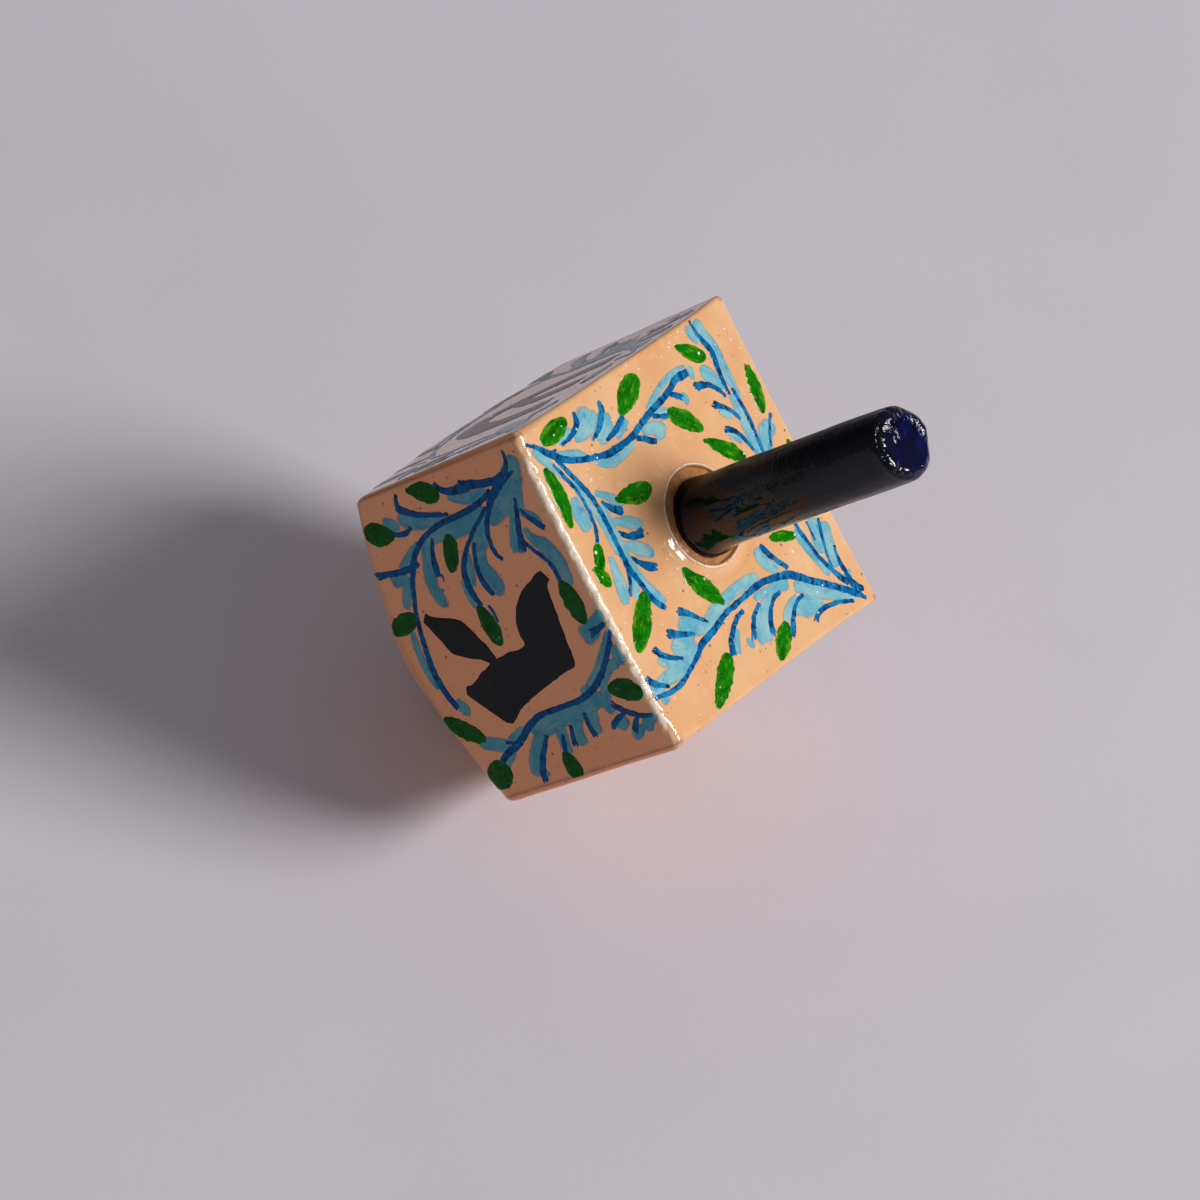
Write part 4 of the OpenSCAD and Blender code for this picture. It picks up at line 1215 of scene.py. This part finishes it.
def beadMask(n):
    # Small round beads of lacquer, gathered in patches; each catches one glint
    cells = n.cells(0.55)
    split = n.add("ShaderNodeSeparateColor")
    n.link(cells.outputs["Color"], split.inputs[0])
    picked = n.math("LESS_THAN", split.outputs[1], 0.5)
    patch = n.remap(n.noise(5.0, 2.0), 0.44, 0.56)
    dome = n.remap(cells.outputs["Distance"], 0.26, 0.0)
    return n.math("MULTIPLY", n.math("MULTIPLY", picked, patch), dome)


def glintSpecks(n, color, strength, spread=0.0):
    # Pale specks of two sizes, gathered in patches: painted glints of the lamp on the lacquer,
    # which also stand for small blisters in it
    mask = n.math("MAXIMUM", pitMask(n, 0.8, 0.5, 0.15), pitMask(n, 1.7, 0.45, 0.12))
    patch = n.remap(n.noise(4.0, 2.0), 0.5 - spread, 0.6 - spread)
    mask = n.math("MULTIPLY", n.math("MULTIPLY", mask, patch), strength)
    return n.mix(mask, color, (0.92, 0.90, 0.86))


ground = dict(
    peach=(0.86, 0.505, 0.265),
    deep=(0.80, 0.405, 0.185),
    # side: deeper, redder peach, painted shade on the four sides
    side=(0.93, 0.325, 0.13),
    # edge: pale tint of the painted highlight along the edge over the lettered face
    edge=(0.98, 0.80, 0.64),
    pale=(0.93, 0.585, 0.34),
    pit=(0.22, 0.075, 0.025),
    seam=(0.20, 0.085, 0.04),
    # grooveShade: painted shade in the mouth and under the crest
    grooveShade=(0.16, 0.06, 0.02),
)


def makeGroundPaint():
    # Peach ground coat: broad and small blotches of three tints, brown pits, brown lines where the
    # coat is thin along the long edges, a darker belly, all under clear lacquer. Painted light in
    # it:
    # a deeper, redder peach on the four sides as painted shade, a pale band along the edge over the
    # lettered face as painted highlight, pale specks as painted glints, a dark ring in the mouth
    # round the stem as painted shade
    n = NodeTree("peachLacquer")
    g = ground
    color = n.mix(n.remap(n.noise(9.0, 3.0), 0.3, 0.7), g["peach"], g["deep"])
    color = n.mix(n.remap(n.noise(1.3, 4.0), 0.5, 0.8, 0.0, 0.45), color, g["pale"])
    color = n.mix(n.remap(n.noise(0.35, 3.0), 0.5, 0.75, 0.0, 0.25), color, g["deep"])
    # Deeper, redder peach on the four sides: painted shade
    color = n.mix(n.math("MULTIPLY", n.attribute("side"), 0.75), color, g["side"])
    color = n.mix(n.math("MULTIPLY", n.attribute("turned"), 0.5), color, (0.74, 0.33, 0.15))
    color = n.mix(n.remap(n.noise(0.9, 4.0, 0.7), 0.52, 0.72, 0.0, 0.3), color, g["deep"])
    # Pale band along the edge over the lettered face: painted highlight of the lamp
    edgeHighlight = n.math("MULTIPLY", n.remap(n.noise(0.7, 3.0), 0.3, 0.5, 0.35, 1.0), n.attribute("edge"))
    color = n.mix(n.remap(edgeHighlight, 0.25, 0.6), color, g["edge"])
    # Pale specks, strong on the stem end and faint on the sides: painted glints
    color = glintSpecks(n, color, n.remap(n.attribute("side"), 0.0, 1.0, 1.0, 0.15))
    pits = pitMask(n, 1.5, 0.75, 0.11)
    specks = pitMask(n, 0.7, 0.35, 0.14)
    color = n.mix(n.math("MULTIPLY", pits, 0.8), color, g["pit"])
    color = n.mix(n.math("MULTIPLY", specks, 0.55), color, g["pit"])
    breakup = n.remap(n.noise(2.2, 3.0), 0.25, 0.5)
    seam = n.math("MULTIPLY", n.attribute("seam"), breakup)
    color = n.mix(n.math("MULTIPLY", seam, 0.6), color, g["seam"])
    # Dark ring in the mouth round the stem and at the bead's inner drop: painted shade
    color = n.mix(n.math("MULTIPLY", n.attribute("grooveShade"), 0.8), color, g["grooveShade"])
    waves = n.bump(n.noise(2.4, 2.0), 0.05)
    peel = n.bump(n.noise(0.5, 2.0), 0.008, 1.0, waves)
    dents = n.math("SUBTRACT", 1.0, n.math("MAXIMUM", pits, specks))
    skin = n.bump(dents, 0.05, 1.0, peel)
    lumps = n.math("MULTIPLY", n.noise(0.7, 2.0, 0.5), n.attribute("edge"))
    skin = n.bump(lumps, 0.2, 1.0, skin)
    skin = n.bump(beadMask(n), 0.05, 1.0, skin)
    rough = n.remap(n.noise(1.1, 3.0), 0.3, 0.7, 0.38, 0.5)
    return n.finish(color, rough, skin, 1.0, 0.08, 0.0)


def coatNormal(n):
    waves = n.bump(n.noise(2.4, 2.0), 0.05)
    peel = n.bump(n.noise(0.5, 2.0), 0.008, 1.0, waves)
    return n.bump(beadMask(n), 0.05, 1.0, peel)


# Tints, strength of the clear coat and of the pale specks on the stem end, the lettered face
# and the other sides. The sides take darker copies of the stem end's tints, painted shade; the
# pale specks are painted glints, strongest on the stem end
litAndShadedTint = dict(top="top", front="side", far="side")
paintCoat = dict(top=0.42, front=0.2, far=0.65)
paintGlints = dict(top=1.0, front=0.15, far=0.4)

# Middle, light, dark and navy tints of the blue strokes, on the stem end and on the sides; the
# side tints are darker copies, painted shade
vinePaint = dict(
    top=((0.0, 0.12, 0.34), (0.015, 0.27, 0.55), (0.0, 0.03, 0.13), (0.0, 0.008, 0.05)),
    side=((0.0, 0.085, 0.26), (0.0, 0.13, 0.34), (0.0, 0.045, 0.16), (0.0, 0.01, 0.06)),
)


def makeVinePaint(kind):
    # Blue strokes: bands of thicker and thinner paint across the stroke, fine bristle lines
    # along it, and scattered navy blots where the brush rested
    n = NodeTree("vineBlue" + kind.capitalize())
    middle, light, dark, navy = vinePaint[litAndShadedTint[kind]]
    along = n.stretch(n.uv(), (1.0, 5.0, 1.0))
    bristle = n.noise(90.0, 3.0, 0.6, 0.0, along)
    across = n.stretch(n.uv(), (1.0, 0.35, 1.0))
    band = n.noise(75.0, 2.0, 0.5, 0.0, across)
    color = n.mix(n.remap(n.noise(1.6, 2.0), 0.42, 0.62, 0.0, 0.8), middle, light)
    color = n.mix(n.remap(bristle, 0.5, 0.8, 0.0, 0.5), color, dark)
    color = n.mix(n.remap(band, 0.5, 0.6, 0.0, 0.85), color, dark)
    color = n.mix(n.remap(n.noise(0.8, 2.0), 0.6, 0.68, 0.0, 0.85), color, navy)
    color = glintSpecks(n, color, paintGlints[kind])
    fine = n.bump(bristle, 0.02, 1.0, coatNormal(n))
    return n.finish(color, 0.36, fine, paintCoat[kind], 0.08, 0.0)


# Middle, light and blue tints of the washes, on the stem end and on the sides; the side tints are
# darker copies, painted shade
washPaint = dict(
    top=((0.15, 0.46, 0.58), (0.31, 0.57, 0.60), (0.03, 0.28, 0.54)),
    side=((0.07, 0.33, 0.44), (0.16, 0.40, 0.46), (0.015, 0.19, 0.39)),
)


def makeWashPaint(kind):
    # Thin pale blue in three tints: the ground shows through in places, and the colour pools
    # in others
    n = NodeTree("washBlue" + kind.capitalize())
    middle, light, blue = washPaint[litAndShadedTint[kind]]
    color = n.mix(n.remap(n.noise(2.2, 3.0), 0.35, 0.65), middle, light)
    color = n.mix(n.remap(n.noise(1.2, 3.0), 0.55, 0.75, 0.0, 0.7), color, blue)
    streak = n.noise(40.0, 2.0, 0.5, 0.0, n.stretch(n.uv(), (0.2, 1.0, 1.0)))
    color = n.mix(n.remap(streak, 0.5, 0.75, 0.0, 0.5), color, blue)
    color = glintSpecks(n, color, paintGlints[kind])
    thin = n.math("ADD", n.attribute("rim"), n.remap(n.noise(0.9, 2.0), 0.3, 0.7, -0.06, 0.06))
    cover = n.remap(thin, 0.5, 0.93, 0.97, 0.0)
    cover = n.math("MULTIPLY", cover, n.remap(n.attribute("rim"), 0.84, 0.95, 1.0, 0.0))
    cover = n.math("MULTIPLY", cover, n.remap(streak, 0.25, 0.45, 0.82, 1.0))
    n.link(cover, n.shader.inputs["Alpha"])
    return n.finish(color, 0.4, coatNormal(n), paintCoat[kind], 0.09, 0.0)


# Middle, light and dark tints of the leaves, on the stem end and on the sides; the side tints
# are darker copies, painted shade
leafPaint = dict(
    top=((0.003, 0.19, 0.0), (0.13, 0.36, 0.006), (0.0, 0.095, 0.0)),
    side=((0.0, 0.095, 0.006), (0.02, 0.15, 0.01), (0.0, 0.055, 0.005)),
)


def makeLeafPaint(kind):
    # Green leaves: streaks along the leaf from dark to yellow green, lighter towards the rim
    n = NodeTree("leafGreen" + kind.capitalize())
    middle, light, dark = leafPaint[litAndShadedTint[kind]]
    along = n.stretch(n.uv(), (1.0, 3.0, 1.0))
    streak = n.noise(110.0, 3.0, 0.6, 0.3, along)
    color = n.mix(n.remap(n.noise(1.1, 3.0), 0.3, 0.55), dark, middle)
    color = n.mix(n.remap(streak, 0.5, 0.72, 0.0, 0.75), color, light)
    glow = n.math("ADD", n.attribute("rim"), n.remap(n.noise(1.2, 3.0), 0.3, 0.7, -0.5, 0.5))
    color = n.mix(n.remap(glow, 0.7, 1.2, 0.0, 0.7), color, light)
    color = n.mix(n.remap(n.noise(0.45, 2.0), 0.56, 0.7, 0.0, 0.7), color, dark)
    color = glintSpecks(n, color, paintGlints[kind], 0.08)
    fine = n.bump(streak, 0.02, 1.0, coatNormal(n))
    return n.finish(color, 0.38, fine, paintCoat[kind], 0.09, 0.0)


def makeLetterPaint(kind):
    # Charcoal letters, a little duller than the lacquer round them
    n = NodeTree("letterCharcoal" + kind.capitalize())
    blotch = n.remap(n.noise(2.5, 4.0), 0.35, 0.65)
    color = n.mix(blotch, (0.007, 0.0065, 0.008), (0.013, 0.012, 0.015))
    rough = n.remap(n.noise(1.5, 3.0), 0.3, 0.7, 0.34, 0.5)
    return n.finish(color, rough, coatNormal(n), max(paintCoat[kind], 0.3), 0.2, 0.0)


def makeGluePaint():
    # Ground and glue that ran together round the stem: orange tan with darker blotches
    n = NodeTree("rootTan")
    color = n.mix(n.remap(n.noise(0.9, 3.0), 0.35, 0.65), (0.50, 0.22, 0.075), (0.36, 0.14, 0.042))
    color = n.mix(n.remap(n.noise(0.35, 3.0), 0.55, 0.75, 0.0, 0.6), color, (0.16, 0.06, 0.02))
    skin = n.bump(n.noise(0.5, 3.0), 0.06)
    return n.finish(color, 0.4, skin, 0.35, 0.12, 0.2)


def makeStemPaint():
    # Near-black navy lacquer: long grain waves, a matt violet end with scuffs
    n = NodeTree("navyLacquer")
    blotch = n.remap(n.noise(3.0, 3.0), 0.35, 0.65)
    color = n.mix(blotch, (0.001, 0.0012, 0.005), (0.003, 0.003, 0.010))
    end = n.mix(n.remap(n.noise(1.6, 3.0), 0.4, 0.65), (0.002, 0.0015, 0.022), (0.002, 0.005, 0.05))
    color = n.mix(n.attribute("endFace"), color, end)
    turn = n.add("ShaderNodeMapping", vector_type="TEXTURE")
    n.link(n.place, turn.inputs["Vector"])
    turn.inputs["Rotation"].default_value = (0.0, math.radians(90) - math.asin(zAxis[2]), 0.0)
    turn.inputs["Scale"].default_value = (1.0, 1.0, 6.0)
    grain = n.noise(0.9, 3.0, 0.5, 0.0, turn.outputs["Vector"])
    waves = n.bump(grain, 0.075)
    peel = n.bump(n.noise(1.6, 2.0), 0.045, 1.0, waves)
    ridges = n.math("MULTIPLY", n.noise(0.4, 3.0, 0.6), n.attribute("coarse"))
    peel = n.bump(ridges, 0.07, 1.0, peel)
    peel = n.bump(n.math("MULTIPLY", n.noise(1.2, 3.0), n.attribute("rim")), 0.3, 1.0, peel)
    rough = n.remap(n.attribute("endFace"), 0.0, 1.0, 0.2, 0.3)
    grip = n.remap(n.attribute("along"), 6.0, 15.0, 0.78, 0.55)
    dull = n.remap(n.attribute("coarse"), 0.1, 0.6, 1.0, 0.4)
    glossy = n.math("MAXIMUM", n.math("MULTIPLY", grip, dull), n.attribute("rim"))
    n.link(glossy, n.shader.inputs["Coat Weight"])
    return n.finish(color, rough, peel, 1.0, 0.03, 0.0)


# Floor and light

stage = dict(
    floor=(0.86, 0.815, 0.895),
    keyFrom=(0.846, 0.157, 0.509),
    keyDistance=1.5,
    keySize=0.5,
    keyPower=19.5,
    world=0.17,
)


def makeFloor():
    # A square sheet of the table, with a cool tone that drifts slowly
    s = stage
    steps = np.linspace(-0.9, 0.9, 41)
    x, y = np.meshgrid(steps, steps, indexing="ij")
    points = np.stack([x, y, 0 * x - 0.00002], -1).reshape(-1, 3)
    n = NodeTree("tableTop")
    darker = tuple(0.96 * c for c in s["floor"])
    color = n.mix(n.remap(n.noise(60.0, 3.0), 0.35, 0.65), s["floor"], darker)
    n.finish(color, 0.75, n.bump(n.noise(1.2, 3.0), 0.01), 0.0, 0.05, 0.2)
    floor = makeMesh("tableTop", points, gridFaces(41, 41, False), None, n.material, world=True)
    return floor


def addArea(name, direction, distance, size, power, color, aim=(0.0, 0.0, 0.02)):
    data = bpy.data.lights.new(name, "AREA")
    data.shape = "DISK"
    data.size = size
    data.energy = power
    data.color = color
    lamp = bpy.data.objects.new(name, data)
    bpy.context.scene.collection.objects.link(lamp)
    away = Vector(direction).normalized()
    lamp.location = Vector(aim) + away * distance
    lamp.rotation_euler = (-away).to_track_quat("-Z", "Y").to_euler()
    return lamp


def makeLight():
    s = stage
    addArea("key", s["keyFrom"], s["keyDistance"], s["keySize"], s["keyPower"], (1.0, 0.985, 0.96))
    world = bpy.data.worlds.new("studio")
    bpy.context.scene.world = world
    world.use_nodes = True
    background = world.node_tree.nodes["Background"]
    background.inputs["Color"].default_value = (0.95, 0.96, 1.0, 1.0)
    background.inputs["Strength"].default_value = s["world"]


makeCamera()
makeFloor()
makeLight()
bpy.context.scene.view_settings.view_transform = "Standard"
print("camera, floor and light")

groundPaint = makeGroundPaint()
makeGround(groundPaint)
makeBead(groundPaint)
makeGlue(makeGluePaint())
makeStem(makeStemPaint())
print("block, bead, glue and stem")

paints = {
    kind: dict(
        wash=makeWashPaint(kind),
        stem=makeVinePaint(kind),
        leaf=makeLeafPaint(kind),
        letter=makeLetterPaint(kind),
    )
    for kind in ("top", "front", "far")
}
paintFace("top", topWashes, topStems, topLeaves, None, paints["top"])
paintFace("front", frontWashes, frontStems, frontLeaves, letterHe, paints["front"])
# The other faces: mirrored or not, seed of the nudges, letter
farFaces = dict(under=(-1, 5, letterGimel), rear=(1, 6, letterNun), upper=(-1, 7, letterShin))
for face, (mirror, seed, letter) in farFaces.items():
    paintFace(
        face,
        turnStrokes(frontWashes, mirror, seed, letter),
        turnStrokes(frontStems, mirror, seed, letter),
        turnLeaves(frontLeaves, mirror, seed, letter),
        letter,
        paints["far"],
    )
